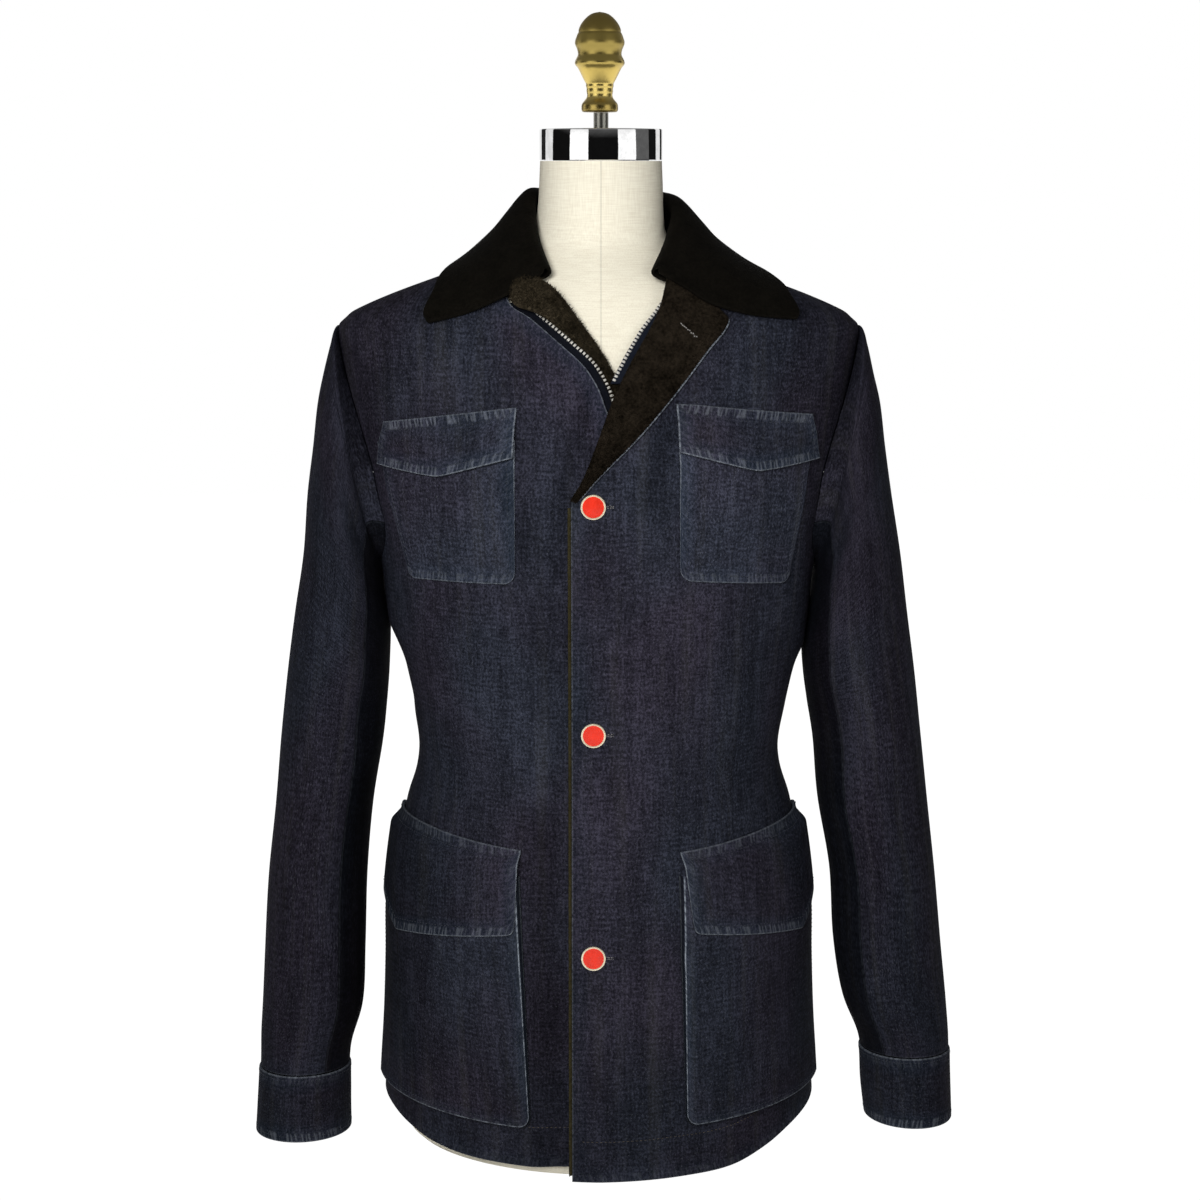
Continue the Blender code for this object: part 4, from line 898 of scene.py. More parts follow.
def armhole(angle, inset=0.0):
    """Turn and height on the armhole, from its top, over the front, to the underarm at pi."""
    share = (1 - np.cos(angle)) / 2
    z = mix(SHOULDER_TIP - inset, UNDERARM + inset, share)
    reach = np.where(np.sin(angle) > 0, FRONT_REACH * (0.35 + share), BACK_REACH)
    reach = np.maximum(reach - inset / ARMHOLE_RADIUS, 0)
    return mix(math.pi / 2, SIDE_SEAM, share) - reach * np.sin(angle), z


def hem_height(side, turn):
    left, right = read(HEM, np.degrees(np.abs(turn)))
    return left if side > 0 else right


def side_path(side, v, back):
    """The side seam, and above it the front or the back half of the armhole."""
    gap = SEAM_GAP * (1 if back else -1)
    step = v * STEPS - LOWER_STEPS
    angle = math.pi * (1 - np.clip(step, 0, None) / (STEPS - LOWER_STEPS))
    turn, z = armhole(-angle if back else angle)
    low = hem_height(side, np.array(SIDE_SEAM))
    below = step <= 0
    z = np.where(below, mix(low, UNDERARM, v * STEPS / LOWER_STEPS), z)
    return np.where(below, SIDE_SEAM + gap, turn + gap * (1 - np.sin(angle))), z


def front_edge(side, z):
    """The turn of a front's free edge: the lap, then the fold, then the neck."""
    fold, lap = (LEFT_FOLD, LEFT_LAP) if side > 0 else (RIGHT_EDGE, RIGHT_LAP)
    x = np.where(z < fold[0][0], lap, side * read(fold, z)[0])
    neck = np.radians(read(NECK_EDGE, z)[0])
    start, end = fold[-1][0], NECK_EDGE[0][0]
    share = np.clip((z - start) / (end - start), 0, 1)
    between = mix(turn_at_x(side * fold[-1][1], z), math.radians(NECK_EDGE[0][1]), share)
    return np.where(z <= start, turn_at_x(x, z), np.where(z >= end, neck, between))


def underlap(x, z):
    """How far the right front lies behind the left one, near the middle."""
    return -0.0056 * (1 - ease(-x, 0.027, 0.058)) * (1 - ease(z, 0.635, 0.685))


print("armhole height", round(SHOULDER_TIP - UNDERARM, 4), "m")

# %% [markdown]
# Each panel is one function of u, across, and v, up. Below the underarm the rows run from the hem
# to the underarm. Above it they fan out over the steps of the UPPER table, so the last row of the
# grid is the neck seam and the first is the hem.

# %% Fronts and back
BACK_NECK_X, MIDDLE_SHARE = 0.0755, 1 / 3
WIDEST_TURN = math.pi / 2 - 0.001


def front_place(side):
    def place(u, v, depth):
        side_turn, side_z = side_path(side, v, False)
        step = v * STEPS - LOWER_STEPS
        lower = v * STEPS / LOWER_STEPS
        low_z = mix(hem_height(side, np.array(0.0)), UNDERARM, lower)
        edge_z = np.where(step <= 0, low_z, read(UPPER, step)[0])
        edge_turn = np.minimum(front_edge(side, edge_z), WIDEST_TURN)
        turn, z = mix(edge_turn, side_turn, u), mix(edge_z, side_z, u)
        z = np.where(step <= 0, mix(hem_height(side, turn), UNDERARM, lower), z)
        back = underlap(-read(RINGS, z)[0] * np.sin(turn), z) if side < 0 else 0.0
        return on_body(turn * side, z, back - depth)

    return place


def back_place(u, v, depth):
    across = 2 * u - 1
    reach, side = np.abs(across), np.where(across > 0, 1, -1)
    side_turn, left_z = side_path(1, v, True)
    side_z = np.where(side > 0, left_z, side_path(-1, v, True)[1])
    step = v * STEPS - LOWER_STEPS
    _, back, neck = read(UPPER, step)
    neck_turn = np.minimum(turn_at_x(BACK_NECK_X, neck), WIDEST_TURN)
    share = np.clip((reach - MIDDLE_SHARE) * 1.5, 0, 1)
    inner = reach <= MIDDLE_SHARE
    turned = np.where(inner, neck_turn * reach * 3, mix(neck_turn, math.pi - side_turn, share))
    z = np.where(inner, mix(back, neck, (reach * 3) ** 2), mix(neck, side_z, share))
    hem = np.where(side > 0, hem_height(1, math.pi - turned), hem_height(-1, math.pi - turned))
    z = np.where(step <= 0, mix(hem, UNDERARM, v * STEPS / LOWER_STEPS), z)
    return on_body((math.pi - turned) * side, z, -depth)


def denim_piece(name, us, vs, place, thick=CLOTH, **more):
    cloth(name, us, vs, place, thick, denim, "denim", **more)


PANEL_ROWS, FRONT_COLUMNS = shares(0.74, 190), shares(0.27, 96)
denim_piece(
    "cloth_back", shares(0.5, 150), PANEL_ROWS, back_place, worn=(0.35, 0.15, 0.15, 0.15), grain="back"
)
denim_piece(
    "cloth_front_left", FRONT_COLUMNS, PANEL_ROWS, front_place(1),
    worn=(0.35, 0.10, 0.10, 0.30), roped=(0.25, 0, 0, 0), grain="body",
)
denim_piece(
    "cloth_front_right", FRONT_COLUMNS, PANEL_ROWS, front_place(-1),
    worn=(0.25, 0.10, 0.10, 0.8), roped=(0.15, 0, 0, 0), grain="body",
)

# %% [markdown]
# A sleeve is a row of ovals from the armhole to the cuff, each tilted a little further, because an
# arm hangs forward. It is cut in two: a wide top piece and a narrow one under the arm, sewn
# together along two long seams. The cuff is a band of its own.

# %% The sleeve's ovals
# part, outer height, outer X left and right, inner height, inner X left and right, middle, depth
SLEEVE = [
    (0.5, 0.6835, 0.2165, 0.2160, 0.4905, 0.1785, 0.1785, 0.003, 0.0625),
    (1.0, 0.6745, 0.2192, 0.2184, 0.4850, 0.1800, 0.1800, 0.003, 0.0670),
    (2.0, 0.6500, 0.2250, 0.2250, 0.4745, 0.1795, 0.1800, 0.003, 0.0720),
    (3.0, 0.6245, 0.2313, 0.2306, 0.4635, 0.1780, 0.1790, 0.003, 0.0755),
    (4.0, 0.5900, 0.2360, 0.2350, 0.4520, 0.1755, 0.1765, 0.003, 0.0775),
    (5.0, 0.5500, 0.2421, 0.2405, 0.4380, 0.1740, 0.1750, 0.002, 0.0780),
    (6.0, 0.5000, 0.2506, 0.2449, 0.4200, 0.1712, 0.1755, 0.001, 0.0770),
    (7.0, 0.4500, 0.2573, 0.2530, 0.3980, 0.1720, 0.1762, -0.001, 0.0750),
    (8.0, 0.4000, 0.2640, 0.2598, 0.3730, 0.1752, 0.1780, -0.006, 0.0720),
    (9.0, 0.3480, 0.2696, 0.2655, 0.3400, 0.1803, 0.1815, -0.012, 0.0690),
    (10.0, 0.2900, 0.2757, 0.2706, 0.2900, 0.1845, 0.1897, -0.020, 0.0650),
    (11.0, 0.2300, 0.2820, 0.2770, 0.2300, 0.1945, 0.1950, -0.029, 0.0610),
    (12.0, 0.1700, 0.2873, 0.2805, 0.1700, 0.1978, 0.1968, -0.038, 0.0570),
    (13.0, 0.1210, 0.2919, 0.2827, 0.1210, 0.2057, 0.1991, -0.045, 0.0540),
    (14.0, 0.0835, 0.2938, 0.2840, 0.0835, 0.2197, 0.2095, -0.050, 0.0525),
    (15.0, 0.0450, 0.2956, 0.2865, 0.0450, 0.2228, 0.2110, -0.054, 0.0525),
    (16.0, 0.0170, 0.2968, 0.2885, 0.0170, 0.2262, 0.2110, -0.056, 0.0530),
]
FRONT_SLEEVE_SEAM, BACK_SLEEVE_SEAM = math.radians(126), math.radians(-108)
CUFF_SEAM, CUFF_END = 14.0, 16.0
CUFF_TOP = {1: 14.17, -1: 14.33}
CUFF_TILT = 0.14
# half width along and round (parts, radians), height, then part and angle of its points
SLEEVE_CREASES = [
    (0.55, 0.0016, [(1.2, 0.9), (3.0, 1.3), (5.0, 1.7)]),
    (0.45, -0.0016, [(2.2, 1.9), (4.0, 1.7), (6.2, 1.35)]),
    (0.50, 0.0016, [(7.0, 2.2), (8.0, 1.7), (9.0, 1.1)]),
    (0.45, -0.0018, [(8.0, 2.3), (8.9, 1.9), (9.6, 1.4)]),
    (0.55, 0.0015, [(9.2, 2.4), (10.1, 2.0), (10.8, 1.5)]),
    (0.45, -0.0012, [(10.3, 2.3), (11.2, 1.8), (12.2, 1.0)]),
    (0.55, 0.0013, [(12.6, 2.0), (13.2, 1.4), (13.6, 0.6)]),
    (0.50, 0.0014, [(6.0, -0.9), (8.0, -1.5), (9.5, -2.2)]),
    (0.50, -0.0014, [(8.6, -0.8), (9.6, -1.5), (10.4, -2.1)]),
    (0.50, 0.0014, [(2.0, -1.2), (4.5, -1.7), (6.0, -2.3)]),
]


def sleeve_oval(side, part, angle):
    """A point of the sleeve's own ovals, of which part 0.5 is at the armhole and 16 at the end."""
    outer_z, outer_left, outer_right, inner_z, inner_left, inner_right, mid, depth = read(SLEEVE, part)
    outer_x, inner_x = (outer_left, inner_left) if side > 0 else (outer_right, inner_right)
    x = (outer_x + inner_x) / 2 + (outer_x - inner_x) / 2 * np.cos(angle)
    z = (outer_z + inner_z) / 2 + (outer_z - inner_z) / 2 * np.cos(angle)
    y = mid - depth * np.sin(angle)
    z = z + depth * np.sin(angle) * CUFF_TILT * ease(part, 5.0, CUFF_SEAM)
    if side > 0:
        z = z + 0.0095 * (1 - ease(z, 0.0, 0.40))
    else:
        z = z - 0.0030 * (1 - ease(z, 0.0, 0.10))
    return np.stack([x * side, y, z], -1)


print("sleeve ovals", len(SLEEVE), "creases", len(SLEEVE_CREASES))

# %% [markdown]
# The first oval is the armhole itself, so the sleeve meets the body exactly. A curve through the
# armhole and the next two ovals gives the rounded sleeve head. As on the body, creases are added
# along the normal, here by part and angle instead of by place.

# %% Sleeves and cuffs
SLEEVE_INSET, PART_STEP, ANGLE_STEP = 0.00048, 0.02, 0.02
SEAM_ROOM, CUFF_ROOM, CUFF_STANDS = 0.002, 0.006, 0.0012


def sleeve_surface(side, part, angle):
    turn, z = armhole(angle, SLEEVE_INSET)
    start = on_body(turn * side, z)
    first, second = sleeve_oval(side, 0.5 + 0 * part, angle), sleeve_oval(side, 1.0 + 0 * part, angle)
    share = np.clip(part, 0, 1)[..., None]
    near = start * (2 * (share - 0.5) * (share - 1)) + first * (-4 * share * (share - 1))
    near = near + second * (2 * share * (share - 0.5))
    return np.where((part >= 1.0)[..., None], sleeve_oval(side, part, angle), near)


def sleeve_point(side, part, angle, depth):
    """A point of the creased sleeve, moved in along its normal."""
    part, angle = np.broadcast_arrays(np.asarray(part, float), np.asarray(angle, float))
    ahead, behind = np.minimum(part + PART_STEP, CUFF_END), np.maximum(part - PART_STEP, 0)
    along = sleeve_surface(side, ahead, angle) - sleeve_surface(side, behind, angle)
    around = sleeve_surface(side, part, angle + ANGLE_STEP) - sleeve_surface(side, part, angle - ANGLE_STEP)
    normal = unit(np.cross(around, along)) * side
    out = -depth
    wrapped = (angle + math.pi) % (2 * math.pi) - math.pi
    for width, rise, line in SLEEVE_CREASES:
        shifted = [(p + (0.25 if side > 0 else 0.0), a) for p, a in line]
        far = from_line(part, wrapped, shifted)
        out = out + rise * np.exp(-((far / width) ** 2)) * ease(part, 0.2, 1.2)
    return sleeve_surface(side, part, angle) + normal * out[..., None]


def sleeve_place(side, low, high):
    def place(u, v, depth):
        part = v * (CUFF_TOP[side] - CUFF_ROOM)
        return sleeve_point(side, part, mix(low + SEAM_ROOM, high - SEAM_ROOM, u), depth)

    return place


def cuff_place(side):
    def place(u, v, depth):
        part = mix(CUFF_TOP[side] + 0.004, CUFF_END, v)
        return sleeve_point(side, part, 2 * math.pi * u, depth - CUFF_STANDS)

    return place


def armhole_tape_place(side):
    """A narrow tape in the armhole's seam, which fills it and keeps light from coming through."""

    def place(u, v, depth):
        turn, z = armhole(2 * math.pi * u, mix(-0.0022, 0.0032, v))
        return on_body(turn * side, z, -0.0006 - depth)

    return place


SLEEVE_ROWS = shares(0.62, 170)
SLEEVE_WORN = (0, 0.04, 0.15, 0.04)
for name, side in (("left", 1), ("right", -1)):
    denim_piece(
        f"cloth_top_sleeve_{name}", shares(0.29, 84), SLEEVE_ROWS,
        sleeve_place(side, BACK_SLEEVE_SEAM, FRONT_SLEEVE_SEAM), worn=SLEEVE_WORN, grain="straight",
    )
    # painted shade: the under sleeve is darkened strongly, standing for the deep shadow between the sleeve
    # and the body
    denim_piece(
        f"cloth_under_sleeve_{name}", shares(0.16, 46), SLEEVE_ROWS,
        sleeve_place(side, FRONT_SLEEVE_SEAM, BACK_SLEEVE_SEAM + 2 * math.pi),
        worn=SLEEVE_WORN, grain="straight", shaded=0.70,
    )
    denim_piece(
        f"cloth_cuff_{name}", np.linspace(0, 1, 121), shares(0.07, 30), cuff_place(side),
        worn=(0.5, 0, 0.6, 0), roped=(0.2, 0, 0.8, 0), tube=True, grain="straight",
    )
    # painted shade: the tape in the seam's groove is darkened a little
    denim_piece(
        f"armhole_tape_{name}", np.linspace(0, 1, 97), np.linspace(0, 1, 8), armhole_tape_place(side),
        0.0020, tube=True, shaded=0.2, node=f"top_sleeve_{name}",
    )

# %% [markdown]
# The collar stands up from the neck seam, rolls over and falls to its points. Its section is given
# at five places on each side, and the ends are cut to a slanting point. The section is a smooth
# curve through nine points, of which the table gives the seam, the roll and the fall.

# %% Collar
# along, seam x y z, roll x y z, fall x y z, edge turn and height
COLLAR = {
    1: [
        (0.00, 0.0000, 0.0885, 0.7438, 0.0000, 0.0740, 0.7930, 0.0000, 0.0975, 0.764, 180, 0.7160),
        (0.25, 0.0530, 0.0660, 0.7450, 0.0455, 0.0580, 0.7910, 0.0700, 0.0770, 0.760, 132, 0.7170),
        (0.50, 0.0765, 0.0080, 0.7462, 0.0655, 0.0120, 0.7840, 0.0900, 0.0100, 0.755, 90, 0.7260),
        (0.75, 0.0755, -0.0460, 0.7385, 0.0600, -0.0340, 0.7600, 0.0950, -0.0450, 0.738, 61.5, 0.7115),
        (1.00, 0.0700, -0.0830, 0.7195, 0.0465, -0.0750, 0.7345, 0.0880, -0.0895, 0.7075, 48, 0.6920),
    ],
    -1: [
        (0.00, 0.0000, 0.0885, 0.7438, 0.0000, 0.0740, 0.7930, 0.0000, 0.0975, 0.764, 180, 0.7160),
        (0.25, 0.0530, 0.0660, 0.7450, 0.0430, 0.0565, 0.7930, 0.0670, 0.0760, 0.763, 132, 0.7200),
        (0.50, 0.0765, 0.0080, 0.7462, 0.0575, 0.0120, 0.7910, 0.0800, 0.0100, 0.762, 90, 0.7320),
        (0.75, 0.0750, -0.0460, 0.7385, 0.0545, -0.0340, 0.7630, 0.0840, -0.0450, 0.743, 54.0, 0.7160),
        (1.00, 0.0670, -0.0815, 0.7175, 0.0420, -0.0740, 0.7345, 0.0720, -0.0880, 0.7135, 39, 0.6900),
    ],
}
COLLAR_OUT, COLLAR_ROUND, COLLAR_STEP, RUNS = 0.0044, 0.0042, 0.01, 8


def collar_path(side, along):
    """The nine points of the collar's section, from the seam over the roll to the edge."""
    sx, sy, sz, rx, ry, rz, fx, fy, fz, turn, height = read(COLLAR[side], along)
    seam, roll, fall = (np.stack(p, -1) for p in ((sx, sy, sz), (rx, ry, rz), (fx, fy, fz)))
    edge = on_body(np.radians(turn), height, COLLAR_OUT, creased=False)
    outward = unit(np.stack([roll[..., 0], roll[..., 1] - NECK_Y, 0 * rx], -1))
    drop = np.array([0, 0, -COLLAR_ROUND])
    full = (0.0045 * ease(along, 0.30, 0.55) * (1 - ease(along, 0.80, 1.0)))[..., None]
    inner, outer = roll - outward * COLLAR_ROUND + drop, roll + outward * (COLLAR_ROUND + full / 2) + drop
    fall = fall + outward * full
    low_fall = (fall + edge) / 2 + outward * full / 2 + np.array([0, 0, -0.003])
    path = [seam, (seam + inner) / 2, inner, roll, outer, (outer + fall) / 2, fall, low_fall, edge]
    return np.stack(path, -2)


def collar_surface(side, along, v):
    path = collar_path(side, along)
    place = np.clip(v, 0, 1) * RUNS
    k = np.minimum(place.astype(int), RUNS - 1)

    def stop(i):
        where = np.clip(i, 0, RUNS)[..., None, None] + 0 * path[..., :1, :].astype(int)
        return np.take_along_axis(path, where, -2)[..., 0, :]

    low, high, before, after = stop(k), stop(k + 1), stop(k - 1), stop(k + 2)
    return smooth_run(low, high, (high - before) / 2, (after - low) / 2, (place - k)[..., None])


def collar_place(u, v, depth):
    across = 2 * u - 1
    along = np.abs(across)
    both = []
    for side in (1, -1):
        point = collar_surface(side, along, v)
        ahead = collar_surface(side, np.minimum(along + COLLAR_STEP, 1), v)
        around = ahead - collar_surface(side, np.maximum(along - COLLAR_STEP, 0), v)
        around = np.where((along < COLLAR_STEP)[..., None], np.array([1.0, 0, 0]), around)
        further = collar_surface(side, along, np.minimum(v + COLLAR_STEP, 1))
        over = further - collar_surface(side, along, np.maximum(v - COLLAR_STEP, 0))
        point = point - unit(np.cross(over, around)) * depth[..., None]
        point[..., 0] *= side
        both.append(point)
    return np.where((across > 0)[..., None], both[0], both[1])


cloth("cloth_collar", shares(0.42, 190), shares(0.13, 64), collar_place, 0.0030, velvet, "pile")

# %% [markdown]
# Pockets and flaps are laid on the fronts by tape: so far round from the middle, so high above the
# hem. The hip pockets have bellows, so their faces stand off the coat and their borders drop to it.
# Left and right were cut alike, but they hang a little differently, so each has its own row.

# %% Places of the pockets and flaps
# girth of the inner edge low and high, of the outer edge low and high; height of the bottom at the
# inner and outer corner, and of the top at the inner and outer corner
CHEST_POCKET = {
    1: (0.0640, 0.0630, 0.1690, 0.1870, 0.4955, 0.4845, 0.6080, 0.6000),
    -1: (0.0655, 0.0650, 0.1670, 0.1950, 0.4925, 0.4895, 0.6060, 0.5980),
}
CHEST_FLAP = {
    1: (0.0622, 0.0608, 0.1910, 0.1830, 0.5975, 0.5865, 0.6340, 0.6210),
    -1: (0.0655, 0.0635, 0.1915, 0.1840, 0.5930, 0.5820, 0.6310, 0.6150),
}
HIP_POCKET = {
    1: (0.0718, 0.0650, 0.2420, 0.2450, 0.0460, 0.0460, 0.2560, 0.2560),
    -1: (0.0550, 0.0635, 0.2420, 0.2450, 0.0460, 0.0460, 0.2560, 0.2560),
}
HIP_FLAP = {
    1: (0.0755, 0.0660, 0.2480, 0.2480, 0.2090, 0.1800, 0.2750, 0.2800),
    -1: (0.0660, 0.0625, 0.2480, 0.2480, 0.2090, 0.1800, 0.2770, 0.2800),
}
POCKET_CLOTH, FLAP_CLOTH, HIP_RISE = 0.0016, 0.0020, 0.0040
CHEST_WIDTH, HIP_FLAP_WIDTH = 0.105, 0.175
POCKET_CORNER, FLAP_CORNER = 0.010, 0.006


def laid(side, girth, z, out):
    return on_body(turn_at_girth(np.asarray(girth), z) * side, z, out)


def outline(pocket, u, v):
    """Girth and height of a place on a pocket or a flap."""
    inner, outer = mix(pocket[0], pocket[1], v), mix(pocket[2], pocket[3], v)
    return mix(inner, outer, u), mix(mix(pocket[4], pocket[5], u), mix(pocket[6], pocket[7], u), v)


def corner_rise(from_side, radius=POCKET_CORNER):
    """How far a round corner lifts the lower border near the side."""
    return radius - np.sqrt(np.maximum(radius**2 - np.maximum(radius - from_side, 0) ** 2, 0))


print("left hip pocket", round(HIP_POCKET[1][2] - HIP_POCKET[1][0], 3), "m of girth")

# %% [markdown]
# A flap is sewn down along its top and is free below, so it lifts off the cloth towards its lower
# edge, where it has to clear the pocket. The chest flaps are cut to a soft point in the middle.
# Near its outer end a hip flap drops back to the coat, and its corner is thick where the seam
# allowances meet.


# %% Pockets and flaps
def chest_pocket(side):
    def place(u, v, depth):
        girth, z = outline(CHEST_POCKET[side], u, v)
        z = z + corner_rise(np.minimum(u, 1 - u) * CHEST_WIDTH) * (1 - v)
        return laid(side, girth, z, LAYER_GAP + POCKET_CLOTH - depth)

    return place


def chest_flap(side):
    def place(u, v, depth):
        girth, z = outline(CHEST_FLAP[side], u, v)
        z = z - 0.0120 * (1.08 - np.sqrt((u / 0.50 - 1) ** 2 + 0.0064)) * (1 - v)
        lift = LAYER_GAP + (POCKET_CLOTH + LAYER_GAP) * ease(1 - v, 0.05, 0.45) + 0.0020 * (1 - v)
        return laid(side, girth, z, lift + FLAP_CLOTH - depth)

    return place


def hip_pocket(side):
    pocket = HIP_POCKET[side]
    width, height = pocket[2] - pocket[0], pocket[6] - pocket[4]

    def place(u, v, depth):
        girth, z = outline(pocket, u, v)
        z = z + corner_rise(u * width) * (1 - v)
        wall = np.minimum(np.minimum(u, 1 - u) * width, v * height)
        lift = HIP_RISE * ease(wall, 0.0002, 0.0026) + POCKET_CLOTH + LAYER_GAP
        return laid(side, girth, z, lift - depth)

    return place


def hip_flap(side):
    def place(u, v, depth):
        girth, z = outline(HIP_FLAP[side], u, v)
        clipped = 0.150 * np.maximum(u - 0.68, 0) + corner_rise(u * HIP_FLAP_WIDTH, FLAP_CORNER)
        z = z + clipped * (1 - v) + 0.0042 * np.sin(math.pi * u**1.3) * v
        end = ease(u, 0.86, 0.98)
        over = (HIP_RISE + POCKET_CLOTH + LAYER_GAP) * (1 - 0.60 * end) * (1 - ease(u, 0.982, 1.0))
        over = over + 0.0014 * ease(u, 0.50, 0.75) * (1 - ease(u, 0.90, 0.99))
        lift = LAYER_GAP * (1 - end) + over * ease(1 - v, 0.02, 0.20)
        knob = 1 + 0.9 * ease(u, 0.90, 0.97) * ease(v, 0.90, 0.97)
        return laid(side, girth, z, lift + (FLAP_CLOTH - depth) * knob)

    return place


for name, side in (("left", 1), ("right", -1)):
    # Pockets and flaps have their tone set here: a value below 0 makes them lighter, and the right hip flap
    # is a little darker
    denim_piece(
        f"cloth_chest_pocket_{name}", shares(0.11, 60), shares(0.115, 60), chest_pocket(side), POCKET_CLOTH,
        worn=(0.6, 0.4, 0, 1.0), roped=(0.6, 0.1, 0, 0.15), shaded=-0.27 - 0.10 * side,
    )
    denim_piece(
        f"cloth_chest_flap_{name}", shares(0.12, 64), shares(0.04, 36), chest_flap(side), FLAP_CLOTH,
        worn=(1.0, 0.5, 0.4, 1.0), roped=(0.9, 0.3, 1.0, 0.25), shaded=-0.10,
    )
    denim_piece(
        f"cloth_hip_pocket_{name}", shares(0.18, 90), shares(0.21, 90), hip_pocket(side), POCKET_CLOTH,
        worn=(0.55, 0.25, 0, 0.9), roped=(0.4, 0, 0, 0.1), ridge=0.0052, shaded=-0.12,
    )
    denim_piece(
        f"cloth_hip_flap_{name}", shares(0.18, 90), shares(0.085, 50), hip_flap(side), FLAP_CLOTH,
        worn=(0.8, 0.3, 0.35, 1.0), roped=(0.8, 0.1, 0.45, 0.3), shaded=-0.04 * side,
    )

# %% [markdown]
# The facings are the inside of the fronts. At the neck the left one is folded out and lies on the
# front like a narrow lapel, and the right one rolls up along the zip. A third strip of it peeps out
# beside the front edge, all the way down. Each is a strip between a fold and a free edge.

# %% Facings
# along, X and height of the fold, X and height of the free edge
LAPEL = [
    (0.00, -0.0215, 0.5605, -0.0165, 0.5590), (0.12, -0.0120, 0.5765, 0.0010, 0.5790),
    (0.32, -0.0003, 0.6061, 0.0310, 0.6090), (0.52, 0.0112, 0.6368, 0.0600, 0.6420),
    (0.70, 0.0250, 0.6645, 0.0835, 0.6715), (0.84, 0.0397, 0.6893, 0.1010, 0.6935),
    (0.92, 0.0480, 0.7070, 0.0940, 0.7030), (1.00, 0.0530, 0.7270, 0.0800, 0.7160),
]
RIGHT_ROLL = [
    (0.00, 0.0160, 0.6180, 0.0260, 0.6230), (0.20, 0.0085, 0.6420, 0.0190, 0.6480),
    (0.38, 0.0005, 0.6590, 0.0085, 0.6650), (0.55, -0.0100, 0.6720, -0.0010, 0.6800),
    (0.70, -0.0250, 0.6870, -0.0140, 0.6970), (0.85, -0.0490, 0.7005, -0.0340, 0.7190),
    (1.00, -0.0735, 0.7010, -0.0580, 0.7335),
]
EDGE_FACING_X, EDGE_FACING_Z = (-0.0242, -0.0011), (0.0065, 0.554)


def strip_place(side, rows, lift, bulge):
    def place(u, v, depth):
        fold_x, fold_z, edge_x, edge_z = read(rows, v)
        x, z = mix(fold_x, edge_x, u), mix(fold_z, edge_z, u)
        back = underlap(x, z) if side < 0 else 0.0
        puff = bulge * np.sin(math.pi * np.clip(u, 0, 1)) ** 0.7
        if side < 0:
            close = np.sqrt(np.clip(1 - (np.maximum(v - 0.84, 0) / 0.17) ** 2, 0.02, 1))
            x, z = mix((fold_x + edge_x) / 2, x, close), mix((fold_z + edge_z) / 2, z, close)
            puff = puff * (1 + 1.6 * ease(v, 0.5, 0.9)) + 0.0105 * ease(v, 0.62, 0.92)
        return on_body(turn_at_x(x, z), z, lift + back + puff - depth)

    return place


def edge_facing_place(u, v, depth):
    z = mix(*EDGE_FACING_Z, v)
    x = mix(*EDGE_FACING_X, u)
    rolled = 1 - ease(u, 0.02, 0.16)
    roll = 0.0018 * rolled + 0.0003 * np.sin(z * 190) * rolled
    return on_body(turn_at_x(x, z), z, -0.0028 + roll - depth)


def fold_line_place(u, v, depth):
    """The denim's turned edge, which shows as a pale line round the lapel."""
    _, _, edge_x, edge_z = read(LAPEL, mix(0.01, 0.86, v))
    x, z = edge_x + mix(-0.0004, 0.0011, u), edge_z - 0.0006 * u
    return on_body(turn_at_x(x, z), z, LAYER_GAP + 0.0022 - depth)


lapel_place = strip_place(1, LAPEL, LAYER_GAP + 0.0030, 0.0012)
roll_place = strip_place(-1, RIGHT_ROLL, -0.0058, 0.0015)
cloth(
    "cloth_lapel_facing_left", shares(0.05, 44), shares(0.19, 100), lapel_place, 0.0030, sheared,
    "shearling",
)
cloth(
    "cloth_neck_facing_right", shares(0.02, 30), shares(0.12, 70), roll_place, 0.0025, sheared_light,
    "shearling",
)
cloth(
    "cloth_edge_facing_left", shares(0.024, 20), shares(0.55, 160), edge_facing_place, 0.0018, lit_edge_pile,
    "shearling",
)
denim_piece(
    "lapel_fold_line", np.linspace(0, 1, 7), shares(0.17, 90), fold_line_place, 0.0015,
    worn=(0, 1, 0, 1), node="front_left",
)

# %% [markdown]
# The zip's tapes are sewn between the fronts and their facings, so only a narrow strip of each
# shows. They follow the same tables as the fronts' free edges, and run on a little past them.

# %% Zip tapes
LEFT_TAPE_TOP, RIGHT_TAPE_TOP = 0.7060, 0.7000


def left_tape_place(u, v, depth):
    z = mix(0.6500, 0.7260, v)
    past = np.maximum(z - LEFT_TAPE_TOP, 0) * 0.75
    x = read(LEFT_FOLD, np.minimum(z, LEFT_TAPE_TOP))[0] + mix(-0.0085, 0.003, u) + past
    return on_body(turn_at_x(x, z), z, -0.0036 - depth)


def right_tape_place(u, v, depth):
    z = mix(0.6200, 0.7125, v)
    past = np.maximum(z - RIGHT_TAPE_TOP, 0) * 1.1
    x = read(RIGHT_EDGE, np.minimum(z, RIGHT_TAPE_TOP))[0] + mix(-0.003, 0.0085, u) - past
    z = z + mix(-0.002, 0.004, u)
    return on_body(turn_at_x(x, z), z, underlap(x, z) - 0.0042 - depth)


cloth("cloth_zip_tape_left", shares(0.0115, 14), shares(0.08, 50), left_tape_place, 0.0010, tape_blue, "tape")
cloth(
    "cloth_zip_tape_right", shares(0.0098, 14), shares(0.11, 60), right_tape_place, 0.0010, tape_cloth,
    "tape",
)

# %% [markdown]
# Metal and enamel are nearly even, but a surface without any change looks like plastic from a
# mould. A fine noise moves the colour and the roughness a little, and a faint bump does the rest.
# The finial is turned brass whose colour changes with height: bright on the lower bulb, duller and browner
# above.

